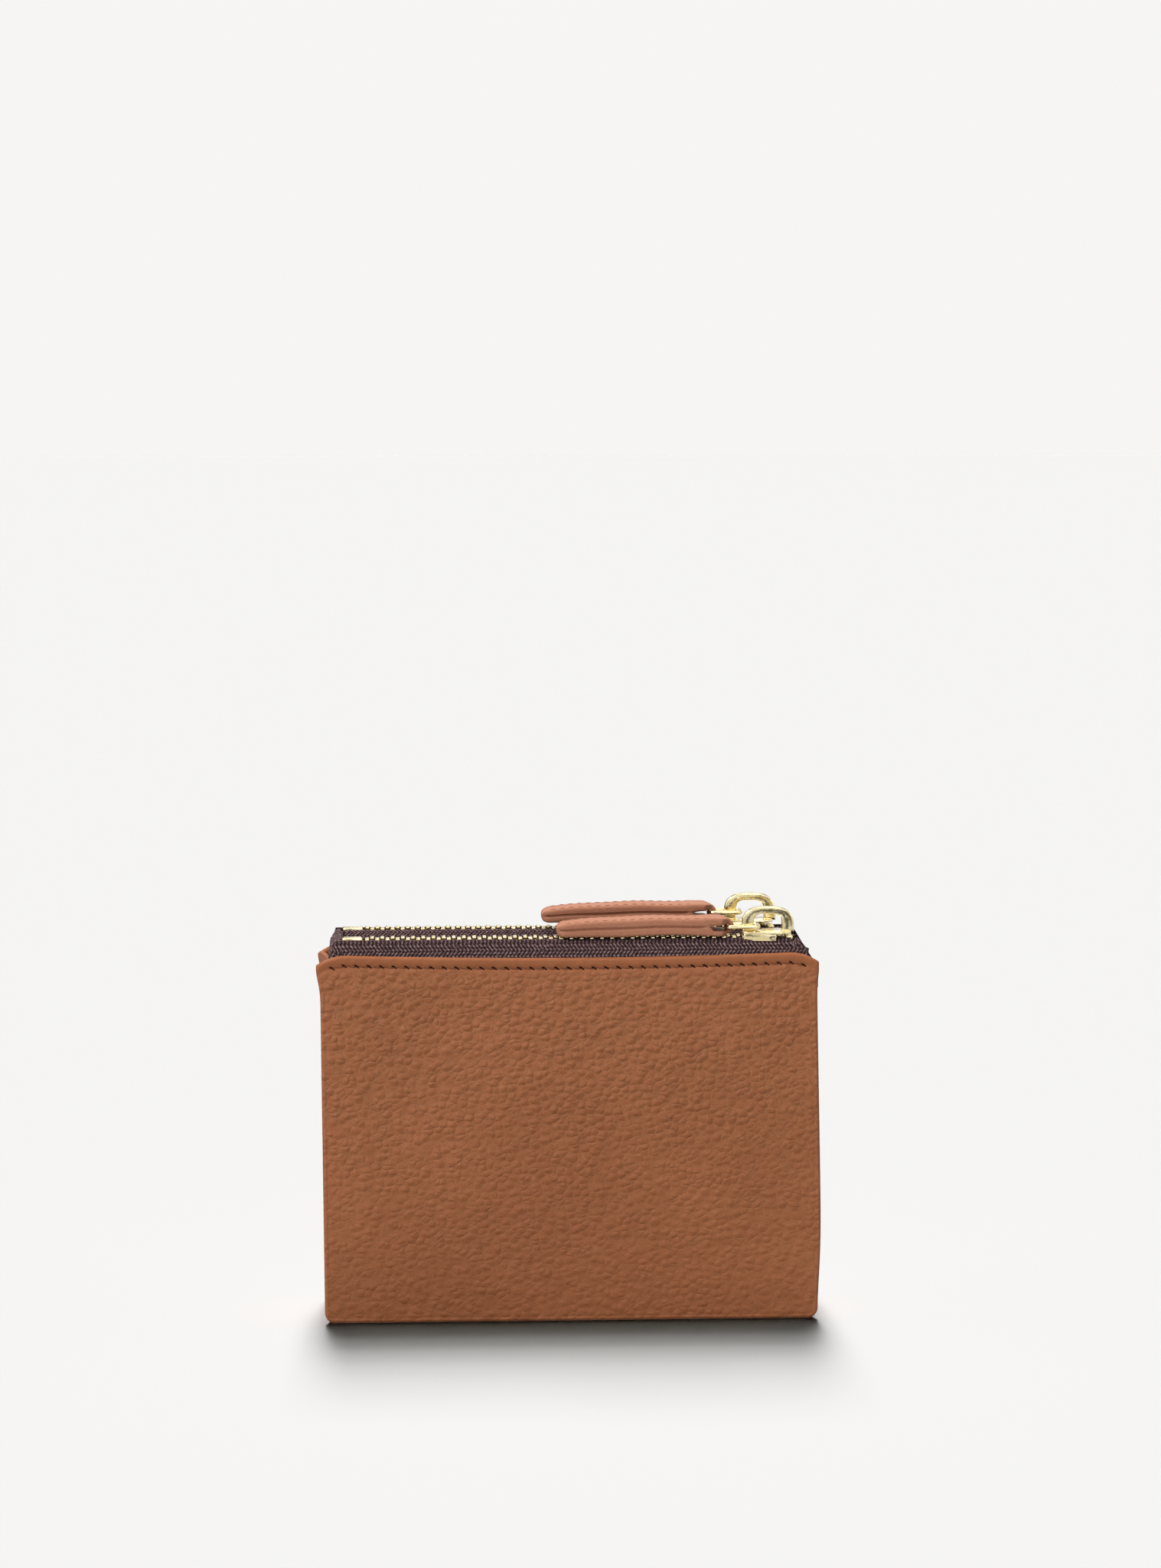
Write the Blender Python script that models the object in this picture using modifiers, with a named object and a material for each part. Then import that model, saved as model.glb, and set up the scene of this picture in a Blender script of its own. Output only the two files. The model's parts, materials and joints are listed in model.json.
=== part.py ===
"""A small leather purse with two zipped compartments that lie one behind the other.

The purse stands on its base. X runs along the zips, -Y is the front and Z is up, and the origin is
under the middle of the base. Lengths are in metres. Front and rear pieces mirror each other in Y,
so most functions take side, which is -1 for the front and +1 for the rear.
"""

import math
from collections import namedtuple

import bmesh
import bpy
from mathutils import Matrix, Vector

MM = 0.001
GAP = 0.3 * MM  # left between two pieces that touch

# Outer leather: front and rear walls joined under the purse by the base
WIDTH = 115 * MM
DEPTH = 25 * MM
WALL_TOP = 86 * MM
LEATHER = 1.5 * MM
WALL_FOOT = 0.35 * MM
BASE_WIDTH = 113 * MM
CORNER_REACH = 6.5 * MM
CORNER_RADIUS = 10.7 * MM
FOOT_RADIUS = 1.5 * MM
WALL_INSIDE = DEPTH / 2 - LEATHER
BASE_EDGE = WALL_INSIDE - GAP

# Side gussets, folded in to a V that meets the divider
GUSSET = 1.2 * MM
GUSSET_OUT = 56.6 * MM
GUSSET_FOLD = 54.0 * MM
GUSSET_EDGE = 10.4 * MM
GUSSET_TOP = 83.5 * MM

# Boards and fabric inside
BOARD = 0.5 * MM
BASE_BOARD_Z = LEATHER + GAP
INSIDE_Z = BASE_BOARD_Z + BOARD + GAP
STIFFENER_WIDTH = 108 * MM
STIFFENER_TOP = 77.3 * MM
DIVIDER = 1.0 * MM
DIVIDER_WIDTH = 106 * MM
DIVIDER_TOP = 84.2 * MM
LINING = 0.5 * MM
LINING_WIDTH = 105.6 * MM
LINING_TOP = 82.7 * MM
LINING_INNER = DIVIDER / 2 + GAP
LINING_OUTER = WALL_INSIDE - GAP - BOARD - GAP
POCKET = 0.6 * MM
POCKET_WIDTH = 92 * MM
SLIP_POCKET_TOP = 55 * MM
CARD_SLOT_TOPS = {"upper": 58 * MM, "middle": 46 * MM, "lower": 34 * MM}

# Zips
ZIP_Y = 6.5 * MM
TOOTH_HEIGHT = 1.1 * MM
TOOTH_PITCH = 2.34 * MM
TOOTH_ROOT = 1.2 * MM
TOOTH_TIP = 0.6 * MM
TOOTH_PAST_CENTRE = 0.3 * MM
BEAD_IN = 1.7 * MM
BEAD_OUT = 2.3 * MM
CHAIN_START = -47.3 * MM
STOP_START = -52.4 * MM
STOP_LENGTH = 4.6 * MM
STOP_HEIGHT = 1.0 * MM
TAPE = 0.5 * MM
TAPE_START = -55.0 * MM
TAPE_END = 52.3 * MM
INNER_TAPE_HALF = LINING_WIDTH / 2 - LINING - GAP
TAPE_TAIL_END = 55.4 * MM
TAPE_FOOT = 77.8 * MM
TAPE_SEWN_OUTER = WALL_INSIDE - GAP - TAPE / 2
TAPE_SEWN_INNER = LINING_INNER + LINING + GAP + TAPE / 2

# Sliders, drawn for the front zip
SLIDER_START = 39.4 * MM
SLIDER_LENGTH = 11.3 * MM
SLIDER_HALF = 3.6 * MM
SLIDER_PLATE = 0.7 * MM
SLIDER_PLATE_Z = 89.7 * MM
FLANGE_LENGTH = 7.7 * MM
FLANGE_IN = 2.7 * MM
FLANGE_OUT = 3.5 * MM
FLANGE_FOOT = 88.25 * MM
LOWER_PLATE_Z = 87.05 * MM
LOWER_PLATE_HALF = 1.6 * MM
NECK_START = 8.2 * MM
NECK_LENGTH = 1.6 * MM
NECK_HALF = 0.5 * MM
TOP_STOP_START = 10.1 * MM
TOP_STOP_LENGTH = 1.5 * MM

# Bail, link and leather pull
BAIL_CENTRE = 5.95 * MM
BAIL_HALF_LENGTH = 6.0 * MM
BAIL_SIDE_BAND = 2.8 * MM
BAIL_TOP_BAND = 1.6 * MM
BAIL_HALF_WIDTH = 1.2 * MM
LINK_WIRE = 0.55 * MM
LINK_HALF_WIDTH = 2.2 * MM
LINK_CORNER = 1.2 * MM
LINK_PIVOT = (3.7 * MM, 91.4 * MM)
PULL_PIVOT = (-3.6 * MM, 91.35 * MM)
PULL_HALF_WIDTH = 3.7 * MM
PULL_LENGTH = 39.1 * MM
NECK_LOOP_RADIUS = 1.6 * MM
NECK_LOOP_HOLE = 0.85 * MM
NECK_LOOP_HALF = LINK_HALF_WIDTH - LINK_CORNER
NECK_LOOP_LENGTH = 1.0 * MM

SIDES = {"front": -1, "rear": 1}

# The rear slider is parked a little to the left, and the rear chain and hardware stand higher
Zip = namedtuple("Zip", "name side shift chain_z slider_lift bail_height link_lift")
ZIPS = (
    Zip("front", -1, 0.0, 88.85 * MM, 0.0, 5.2 * MM, 0.0),
    Zip("rear", 1, -3.0 * MM, 89.25 * MM, 0.75 * MM, 5.75 * MM, 1.4 * MM),
)


def clear_scene():
    for obj in list(bpy.data.objects):
        bpy.data.objects.remove(obj, do_unlink=True)


def new_collection(name):
    collection = bpy.data.collections.new(name)
    bpy.context.scene.collection.children.link(collection)
    return collection


def make_material(name, colour, roughness, metallic=0.0):
    material = bpy.data.materials.new(name)
    material.use_nodes = True
    shader = material.node_tree.nodes["Principled BSDF"]
    shader.inputs["Base Color"].default_value = (*colour, 1.0)
    shader.inputs["Roughness"].default_value = roughness
    shader.inputs["Metallic"].default_value = metallic
    return material


def add_object(name, data, material, collection=None):
    obj = bpy.data.objects.new(name, data)
    (collection or PURSE).objects.link(obj)
    obj.data.materials.append(material)
    return obj


def box(name, low, high, material, collection=None):
    """A box between two opposite corners."""
    low, high = Vector(low), Vector(high)
    mesh = bpy.data.meshes.new(name)
    shape = bmesh.new()
    bmesh.ops.create_cube(shape, size=1.0, matrix=Matrix.Diagonal((*(high - low), 1.0)))
    shape.to_mesh(mesh)
    shape.free()
    obj = add_object(name, mesh, material, collection)
    obj.location = (low + high) / 2
    return obj


def side_box(name, side, x_span, y_span, z_span, material, collection=None):
    """A box whose Y span is given as distances from the middle plane, towards side."""
    near, far = sorted((side * y_span[0], side * y_span[1]))
    low, high = (x_span[0], near, z_span[0]), (x_span[1], far, z_span[1])
    return box(name, low, high, material, collection)


def flat_solid(name, outlines, thickness, material, upright):
    """An outline, and any holes in it, with a thickness: in the XZ plane if upright, else in XY."""
    curve = bpy.data.curves.new(name, "CURVE")
    curve.dimensions = "2D"
    curve.fill_mode = "BOTH"
    curve.extrude = thickness / 2
    for outline in outlines:
        spline = curve.splines.new("POLY")
        spline.points.add(len(outline) - 1)
        for point, (x, y) in zip(spline.points, outline):
            point.co = (x, y, 0.0, 1.0)
        spline.use_cyclic_u = True
    obj = add_object(name, curve, material)
    if upright:
        obj.rotation_euler.x = math.pi / 2
    return obj


def arc(centre, radius, start, end, steps):
    """Points on a circle, from one angle to another in degrees."""
    angles = [math.radians(start + (end - start) * i / steps) for i in range(steps + 1)]
    return [(centre[0] + radius * math.cos(a), centre[1] + radius * math.sin(a)) for a in angles]


def unite(target, others):
    for number, other in enumerate(others):
        modifier = target.modifiers.new(f"join_{number}", "BOOLEAN")
        modifier.operation = "UNION"
        modifier.object = other
        hide_tool(other)


def cut(target, cutters):
    for number, cutter in enumerate(cutters):
        modifier = target.modifiers.new(f"cut_{number}", "BOOLEAN")
        modifier.operation = "DIFFERENCE"
        modifier.object = cutter
        hide_tool(cutter)


def hide_tool(obj):
    obj.hide_render = True
    obj.display_type = "WIRE"


def as_mesh(curve_object):
    """Replaces a curve object by the mesh it makes, with its caps welded on."""
    bpy.context.view_layer.update()
    evaluated = curve_object.evaluated_get(bpy.context.evaluated_depsgraph_get())
    mesh = bpy.data.meshes.new_from_object(evaluated)
    shape = bmesh.new()
    shape.from_mesh(mesh)
    bmesh.ops.remove_doubles(shape, verts=shape.verts, dist=0.001 * MM)
    shape.to_mesh(mesh)
    shape.free()
    name = curve_object.name
    placed = curve_object.matrix_world.copy()
    bpy.data.objects.remove(curve_object, do_unlink=True)
    obj = bpy.data.objects.new(name, mesh)
    PURSE.objects.link(obj)
    obj.matrix_world = placed
    return obj


# Outer leather


def wall_panel(name, side):
    """A wall with its two top corners dropping in a shallow arc and its lower corners rounded."""
    half = WIDTH / 2
    arc_centre = (half - CORNER_REACH, WALL_TOP - CORNER_RADIUS)
    sweep = math.degrees(math.asin(CORNER_REACH / CORNER_RADIUS))
    foot_centre = (half - FOOT_RADIUS, WALL_FOOT + FOOT_RADIUS)
    right = arc(foot_centre, FOOT_RADIUS, -90, 0, 4) + arc(arc_centre, CORNER_RADIUS, 90 - sweep, 90, 5)
    left = [(-x, z) for x, z in reversed(right)]
    panel = flat_solid(name, [right + left], LEATHER, OUTER_LEATHER, upright=True)
    panel.location.y = side * (DEPTH - LEATHER) / 2
    return panel


def base_panel():
    half = BASE_WIDTH / 2
    return box("base_panel", (-half, -BASE_EDGE, 0), (half, BASE_EDGE, LEATHER), OUTER_LEATHER)


def gusset(name, end):
    """A side strip, V-shaped from above, with its fold pointing into the purse."""
    lean = math.atan2(GUSSET_OUT - GUSSET_FOLD, GUSSET_EDGE)
    half = GUSSET / 2 / math.cos(lean)
    outside = [(GUSSET_OUT + half, -GUSSET_EDGE), (GUSSET_FOLD + half, 0), (GUSSET_OUT + half, GUSSET_EDGE)]
    inside = [(x - 2 * half, y) for x, y in reversed(outside)]
    height = GUSSET_TOP - LEATHER - GAP
    outline = [(end * x, y) for x, y in outside + inside]
    strip = flat_solid(name, [outline], height, OUTER_LEATHER, upright=False)
    strip.location.z = GUSSET_TOP - height / 2
    return strip


# Inside


def boards():
    half = STIFFENER_WIDTH / 2
    for side_name, side in SIDES.items():
        depth = (WALL_INSIDE - GAP - BOARD, WALL_INSIDE - GAP)
        height = (BASE_BOARD_Z, STIFFENER_TOP)
        side_box(f"{side_name}_stiffener", side, (-half, half), depth, height, BOARD_PAPER)
    half, edge = DIVIDER_WIDTH / 2, LINING_OUTER
    low, high = (-half, -edge, BASE_BOARD_Z), (half, edge, BASE_BOARD_Z + BOARD)
    box("base_board", low, high, BOARD_PAPER)


def divider():
    half = DIVIDER_WIDTH / 2
    low, high = (-half, -DIVIDER / 2, INSIDE_Z), (half, DIVIDER / 2, DIVIDER_TOP)
    return box("centre_divider", low, high, LINING_FABRIC)


def lining_bag(name, side):
    """The fabric bag of one compartment: a thin box with no top."""
    half = LINING_WIDTH / 2
    depth = (LINING_INNER, LINING_OUTER)
    bag = side_box(name, side, (-half, half), depth, (INSIDE_Z, LINING_TOP), LINING_FABRIC)
    shape = bmesh.new()
    shape.from_mesh(bag.data)
    shape.normal_update()
    lid = [face for face in shape.faces if face.normal.z > 0.5]
    bmesh.ops.delete(shape, geom=lid, context="FACES")
    shape.to_mesh(bag.data)
    shape.free()
    wall = bag.modifiers.new("cloth", "SOLIDIFY")
    wall.thickness = LINING
    wall.offset = -1.0
    wall.use_even_offset = True
    return bag


def pocket(name, side, layer, top):
    """A flat pocket front inside a lining bag; layer 0 lies on the bag's inner wall."""
    half = POCKET_WIDTH / 2
    near = LINING_INNER + LINING + GAP + layer * (POCKET + GAP)
    foot = INSIDE_Z + LINING + GAP
    return side_box(name, side, (-half, half), (near, near + POCKET), (foot, top), LINING_FABRIC)


# Zips


def tape(name, zipper, outward):
    """One half of a zip's cloth: from under the teeth, over, and down to where it is sewn.

    outward is +1 for the half sewn to the wall and -1 for the half sewn to the divider.
    """
    side, chain_z = zipper.side, zipper.chain_z
    sewn = TAPE_SEWN_OUTER if outward > 0 else TAPE_SEWN_INNER
    section = [
        (ZIP_Y + outward * (BEAD_OUT + 0.05 * MM), chain_z - TOOTH_HEIGHT / 2 - 0.45 * MM),
        (ZIP_Y + outward * (BEAD_OUT + 0.9 * MM), chain_z - 1.9 * MM),
        (sewn, chain_z - 4.0 * MM),
        (sewn, TAPE_FOOT),
    ]
    start, end = (TAPE_START, TAPE_END) if outward > 0 else (-INNER_TAPE_HALF, INNER_TAPE_HALF)
    shape = bmesh.new()
    points = [shape.verts.new((start, side * y, z)) for y, z in section]
    edges = [shape.edges.new(pair) for pair in zip(points, points[1:])]
    edges = extrude_along_x(shape, edges, end)
    if outward > 0:
        edges = extrude_along_x(shape, edges, TAPE_TAIL_END)
        tail = {vert for edge in edges for vert in edge.verts}
        tail_foot, tail_top = GUSSET_TOP - 0.5 * MM, GUSSET_TOP + 0.6 * MM
        for vert in tail:
            share = (vert.co.z - TAPE_FOOT) / (section[0][1] - TAPE_FOOT)
            vert.co.z = tail_foot + share * (tail_top - tail_foot)
            vert.co.y = side * sewn
    mesh = bpy.data.meshes.new(name)
    shape.to_mesh(mesh)
    shape.free()
    cloth = add_object(name, mesh, ZIP_TAPE)
    thickness = cloth.modifiers.new("cloth", "SOLIDIFY")
    thickness.thickness = TAPE
    thickness.offset = 0.0
    return cloth


def extrude_along_x(shape, edges, x):
    """Draws a row of edges out to x and returns the row it ends in."""
    made = bmesh.ops.extrude_edge_only(shape, edges=edges)["geom"]
    for item in made:
        if isinstance(item, bmesh.types.BMVert):
            item.co.x = x
    moved = {item for item in made if isinstance(item, bmesh.types.BMVert)}
    return [item for item in made if isinstance(item, bmesh.types.BMEdge) and set(item.verts) <= moved]


def teeth_row(name, zipper, outward):
    """A comb: the cord along the tape's edge with the teeth that are clamped on it."""
    chain_end = SLIDER_START + zipper.shift + NECK_START - 0.4 * MM
    count = int((chain_end - CHAIN_START) / TOOTH_PITCH)
    offset = 0.25 * TOOTH_PITCH if outward > 0 else 0.75 * TOOTH_PITCH
    comb = [(CHAIN_START, BEAD_OUT), (CHAIN_START, BEAD_IN)]
    for number in range(count):
        middle = CHAIN_START + offset + number * TOOTH_PITCH
        comb.append((middle - TOOTH_ROOT / 2, BEAD_IN))
        comb.append((middle - TOOTH_TIP / 2, -TOOTH_PAST_CENTRE))
        comb.append((middle + TOOTH_TIP / 2, -TOOTH_PAST_CENTRE))
        comb.append((middle + TOOTH_ROOT / 2, BEAD_IN))
    comb += [(chain_end, BEAD_IN), (chain_end, BEAD_OUT)]
    outline = [(x, zipper.side * (ZIP_Y + outward * y)) for x, y in comb]
    row = flat_solid(name, [outline], TOOTH_HEIGHT, GOLD, upright=False)
    row.location.z = zipper.chain_z
    return row


def stops(zipper):
    """The bar that closes the left end, and a small clamp at the right end of each row."""
    name, side, chain_z = zipper.name, zipper.side, zipper.chain_z
    depth = (ZIP_Y - BEAD_OUT + 0.1 * MM, ZIP_Y + BEAD_OUT - 0.1 * MM)
    length = (STOP_START, STOP_START + STOP_LENGTH)
    height = (chain_z - STOP_HEIGHT / 2, chain_z + STOP_HEIGHT / 2)
    side_box(f"{name}_bottom_stop", side, length, depth, height, GOLD)
    start = SLIDER_START + zipper.shift + TOP_STOP_START
    length = (start, start + TOP_STOP_LENGTH)
    height = (chain_z - TOOTH_HEIGHT / 2, chain_z + TOOTH_HEIGHT / 2)
    outer = (ZIP_Y + 1.0 * MM, ZIP_Y + BEAD_OUT)
    inner = (ZIP_Y - BEAD_OUT, ZIP_Y - 1.0 * MM)
    side_box(f"{name}_outer_top_stop", side, length, outer, height, GOLD)
    side_box(f"{name}_inner_top_stop", side, length, inner, height, GOLD)


def slider_body(name, zipper):
    """Upper plate with a flange down each side, joined by a neck to a lower plate in the mouth."""
    side, lift = zipper.side, zipper.slider_lift
    start = SLIDER_START + zipper.shift
    end = start + SLIDER_LENGTH
    plate_z, foot_z, lower_z = SLIDER_PLATE_Z + lift, FLANGE_FOOT + lift, LOWER_PLATE_Z + lift
    plate_y = (ZIP_Y - SLIDER_HALF, ZIP_Y + SLIDER_HALF)
    body = side_box(name, side, (start, end), plate_y, (plate_z, plate_z + SLIDER_PLATE), GOLD)
    flange_x = (start + 0.1 * MM, start + FLANGE_LENGTH)
    flange_z = (foot_z, plate_z + SLIDER_PLATE / 2)
    lower_x = (start + 0.5 * MM, end - 0.5 * MM)
    lower_y = (ZIP_Y - LOWER_PLATE_HALF, ZIP_Y + LOWER_PLATE_HALF)
    neck_x = (start + NECK_START, start + NECK_START + NECK_LENGTH)
    neck_y = (ZIP_Y - NECK_HALF, ZIP_Y + NECK_HALF)
    parts = {
        "flange_outer": (flange_x, (ZIP_Y + FLANGE_IN, ZIP_Y + FLANGE_OUT), flange_z),
        "flange_inner": (flange_x, (ZIP_Y - FLANGE_OUT, ZIP_Y - FLANGE_IN), flange_z),
        "lower_plate": (lower_x, lower_y, (lower_z, lower_z + 0.6 * MM)),
        "neck": (neck_x, neck_y, (lower_z + 0.3 * MM, plate_z + SLIDER_PLATE / 2)),
    }
    pieces = [
        side_box(f"{name}_{part}_tool", side, *spans, GOLD, collection=TOOLS)
        for part, spans in sorted(parts.items(), reverse=True)
    ]
    unite(body, pieces)
    return body


def bail(name, zipper):
    """The arch that stands along the slider: a flat band with a slightly squared curve."""

    def arch(half_length, height):
        points = []
        for step in range(17):
            angle = math.pi * step / 16
            across, up = math.cos(angle), math.sin(angle)
            x = math.copysign(abs(across) ** 0.8, across) * half_length
            points.append((x, up**0.8 * height))
        return points

    height = zipper.bail_height
    inner = arch(BAIL_HALF_LENGTH - BAIL_SIDE_BAND, height - BAIL_TOP_BAND)
    outline = arch(BAIL_HALF_LENGTH, height) + inner[::-1]
    arch_solid = flat_solid(name, [outline], 2 * BAIL_HALF_WIDTH, GOLD, upright=True)
    middle = SLIDER_START + BAIL_CENTRE + zipper.shift
    foot = SLIDER_PLATE_Z + zipper.slider_lift + SLIDER_PLATE + GAP
    arch_solid.location = (middle, zipper.side * ZIP_Y, foot)
    return arch_solid


def pivots(zipper):
    """Where the link turns in the bail and where the pull turns on the link."""
    return [
        Vector((SLIDER_START + x + zipper.shift, zipper.side * ZIP_Y, z + zipper.link_lift))
        for x, z in (LINK_PIVOT, PULL_PIVOT)
    ]


def link(name, zipper):
    """A long wire link with round corners, tipped so that its end bars lie on the two pivots."""
    at_bail, at_pull = pivots(zipper)
    length = (at_bail - at_pull).length
    x, y = length / 2 - LINK_CORNER, LINK_HALF_WIDTH - LINK_CORNER
    right = arc((x, -y), LINK_CORNER, -90, 0, 4) + arc((x, y), LINK_CORNER, 0, 90, 4)
    left = arc((-x, y), LINK_CORNER, 90, 180, 4) + arc((-x, -y), LINK_CORNER, 180, 270, 4)
    curve = bpy.data.curves.new(name, "CURVE")
    curve.dimensions = "3D"
    curve.bevel_depth = LINK_WIRE
    curve.bevel_resolution = 2
    spline = curve.splines.new("POLY")
    spline.points.add(len(right + left) - 1)
    for point, (x, y) in zip(spline.points, right + left):
        point.co = (x, y, 0.0, 1.0)
    spline.use_cyclic_u = True
    wire = add_object(name, curve, GOLD)
    wire.location = (at_bail + at_pull) / 2
    wire.rotation_euler.y = -math.asin((at_bail.z - at_pull.z) / length)
    return wire


def pull(name, zipper):
    """A leather strip folded round the link: a long flat body, an eye and a narrow neck."""
    at_pull = pivots(zipper)[1]
    tip = -PULL_LENGTH
    loop = arc((0, 0), NECK_LOOP_RADIUS, -95, 95, 10)
    top = [(-2.2 * MM, 2.1 * MM), (-4 * MM, 2.15 * MM), (-8 * MM, 2.0 * MM), (-20 * MM, 2.05 * MM)]
    top.append((-29 * MM, 1.65 * MM))
    end = arc((tip + 1.2 * MM, -0.4 * MM), 1.2 * MM, 90, 270, 8)
    bottom = [(-14 * MM, -1.35 * MM), (-8 * MM, -1.4 * MM), (-4.0 * MM, -1.6 * MM), (-2.2 * MM, -1.6 * MM)]
    hole = arc((0, 0), NECK_LOOP_HOLE, -110, 110, 10)
    hole += [(-1.3 * MM, 0.85 * MM), (-2.5 * MM, 0.75 * MM), (-4.2 * MM, 0.1 * MM)]
    hole += [(-2.5 * MM, -0.65 * MM), (-1.3 * MM, -0.75 * MM)]
    strip = flat_solid(name, [loop + top + end + bottom, hole], 2 * PULL_HALF_WIDTH, PULL_LEATHER, True)
    strip.location = at_pull
    strip = as_mesh(strip)
    cutters = []
    for label, direction in (("near", -1), ("far", 1)):
        inside, outside = NECK_LOOP_HALF, PULL_HALF_WIDTH + 1 * MM
        span = sorted((at_pull.y + direction * inside, at_pull.y + direction * outside))
        low = (at_pull.x - NECK_LOOP_LENGTH, span[0], at_pull.z - 4 * MM)
        high = (at_pull.x + 4 * MM, span[1], at_pull.z + 4 * MM)
        cutters.append(box(f"{name}_{label}_tool", low, high, PULL_LEATHER, TOOLS))
    cut(strip, cutters)
    return strip


def zip_unit(zipper):
    for half_name, outward in (("outer", 1), ("inner", -1)):
        tape(f"{zipper.name}_{half_name}_tape", zipper, outward)
        teeth_row(f"{zipper.name}_{half_name}_teeth", zipper, outward)
    stops(zipper)
    slider_body(f"{zipper.name}_slider_body", zipper)
    bail(f"{zipper.name}_bail", zipper)
    link(f"{zipper.name}_link", zipper)
    pull(f"{zipper.name}_pull", zipper)


def purse():
    base_panel()
    gusset("left_gusset", -1)
    gusset("right_gusset", 1)
    boards()
    divider()
    for side_name, side in SIDES.items():
        wall_panel(f"{side_name}_panel", side)
        lining_bag(f"{side_name}_lining", side)
    for zipper in ZIPS:
        zip_unit(zipper)
    pocket("front_slip_pocket", SIDES["front"], 0, SLIP_POCKET_TOP)
    for layer, (slot_name, top) in enumerate(CARD_SLOT_TOPS.items()):
        pocket(f"card_slot_{slot_name}", SIDES["rear"], layer, top)


clear_scene()
PURSE = new_collection("two_zip_purse")
TOOLS = new_collection("tools")
OUTER_LEATHER = make_material("outer_leather", (0.28, 0.105, 0.047), 0.5)
PULL_LEATHER = make_material("pull_leather", (0.33, 0.13, 0.07), 0.45)
ZIP_TAPE = make_material("zip_tape", (0.055, 0.035, 0.035), 0.85)
LINING_FABRIC = make_material("lining_fabric", (0.12, 0.08, 0.065), 0.8)
BOARD_PAPER = make_material("board", (0.35, 0.3, 0.25), 0.9)
GOLD = make_material("pale_gold", (0.83, 0.69, 0.42), 0.18, 1.0)
purse()
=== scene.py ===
"""Looks of a small leather purse with two parallel zips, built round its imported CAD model.

Everything is in metres in the model's own frame: X runs along the zips, -Y is the front and Z is
up. Places come from the CAD nodes' boxes and the joints' pivots. Front and rear pieces mirror each
other in Y, so most functions take a side's name, and its sign where they need it.
"""

import json
import math

import bmesh
import bpy
import numpy as np
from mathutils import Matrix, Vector


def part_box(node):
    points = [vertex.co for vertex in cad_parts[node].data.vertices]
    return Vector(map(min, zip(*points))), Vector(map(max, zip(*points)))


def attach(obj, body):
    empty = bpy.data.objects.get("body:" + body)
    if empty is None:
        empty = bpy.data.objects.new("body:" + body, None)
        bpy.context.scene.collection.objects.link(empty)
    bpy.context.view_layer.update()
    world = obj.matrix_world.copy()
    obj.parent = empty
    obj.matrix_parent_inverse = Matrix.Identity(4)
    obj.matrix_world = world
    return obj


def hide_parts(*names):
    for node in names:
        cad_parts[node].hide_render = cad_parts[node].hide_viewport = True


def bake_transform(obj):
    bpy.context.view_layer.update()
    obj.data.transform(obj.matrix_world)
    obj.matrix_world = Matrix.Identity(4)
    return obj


MM = 0.001
SIDES = {"front": -1, "rear": 1}
HALVES = {"outer": 1, "inner": -1}  # of a zip: the half on the wall and the half on the core

# Leather shell
RIM = 0.75 * MM  # half of the walls' thickness, and the radius their edges are rolled to
CORNERS = {"front": (6.5 * MM, 10.7 * MM), "rear": (9.0 * MM, 14.3 * MM)}  # reach and radius
TOP_SAG = 0.85 * MM
FOOT_RADIUS = 2.4 * MM
CROWN = 0.45 * MM
SHEAR = 1.3 * MM  # how far the walls' foot has slipped to the right of their top edge
TAPER = 0.012  # share by which the walls are narrower at the top than at the foot, apart from the flare
WAIST = 0.3 * MM  # how far both sides stand in over their whole height
FLARE = (0.9 * MM, 0.5 * MM)  # how far the left and the right top corner stand out
FLARE_HEIGHT = 4 * MM
FOOT_TUCK = 1.15 * MM  # how far the right bottom corner stands in, and how high that reaches
TUCK_HEIGHT = 14 * MM
UNEVEN = 0.12 * MM  # depth of the slow waves in the leather and in the linings
EDGE_GROOVE = 0.07 * MM  # how far the leather sinks behind its rolled edge
GUTTER = 0.22 * MM  # how deep the seam presses the leather, and each needle hole on top of that
PINCH = 0.2 * MM
PINCH_REACH = 0.55 * MM
GUSSET_HALF = 0.55 * MM  # half of the side strips' thickness, and how far their middle stands in
GUSSET_INSET = 0.62 * MM

# Seam along the top edge of each wall
SEAM_DROP = 2.35 * MM
STITCH_PITCH = 2.84 * MM
THREAD_RADIUS = 0.17 * MM
STITCH_TILT = 0.2 * MM
HOLE_LENGTH = 0.95 * MM  # half of a needle hole's length, and of its width
HOLE_WIDTH = 0.3 * MM

# Zips
TOOTH_PITCH = 2.34 * MM
TAPE_THICKNESS = 0.45 * MM
SLIDER_WAIST = 2.9 * MM  # half of the slider's width at its nose
SLIDER_PLATE = 0.7 * MM  # thickness of its upper plate, and of the flanges down its sides
FLANGE_THICKNESS = 0.75 * MM
END_SLANT = 1.3 * MM  # how far the tapes' left end leans in towards the stops

# Bail, link and pull
BAIL_SIDE_BAND = 2.7 * MM
BAIL_TOP_BAND = 1.6 * MM
BAIL_HALF_WIDTH = 1.2 * MM
WIRE = 0.55 * MM
LINK_CORNER = 1.2 * MM
PULL_TIP = -39.1 * MM  # along the pull from the link's bar, like the ends of its faces below
PULL_NECK = -3.3 * MM
PULL_HALF_WIDTH = 3.7 * MM
PULL_VOXEL = 0.2 * MM
RUMPLE_DEPTH = 0.08 * MM
RUMPLE_LENGTH = 3.1 * MM

# Studio
FLOOR_REACH = 6.0
CAMERA_PLACE = (-39.8 * MM, -891.8 * MM, 228.9 * MM)
CAMERA_TURN = (83.28, 0, -2.72)  # degrees
CAMERA_LENS = 89.6  # millimetres, on film 36 mm wide
KEY_STRENGTH = 3.9  # of the row of suns that stand one behind the other over the purse


# Mesh making


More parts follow.
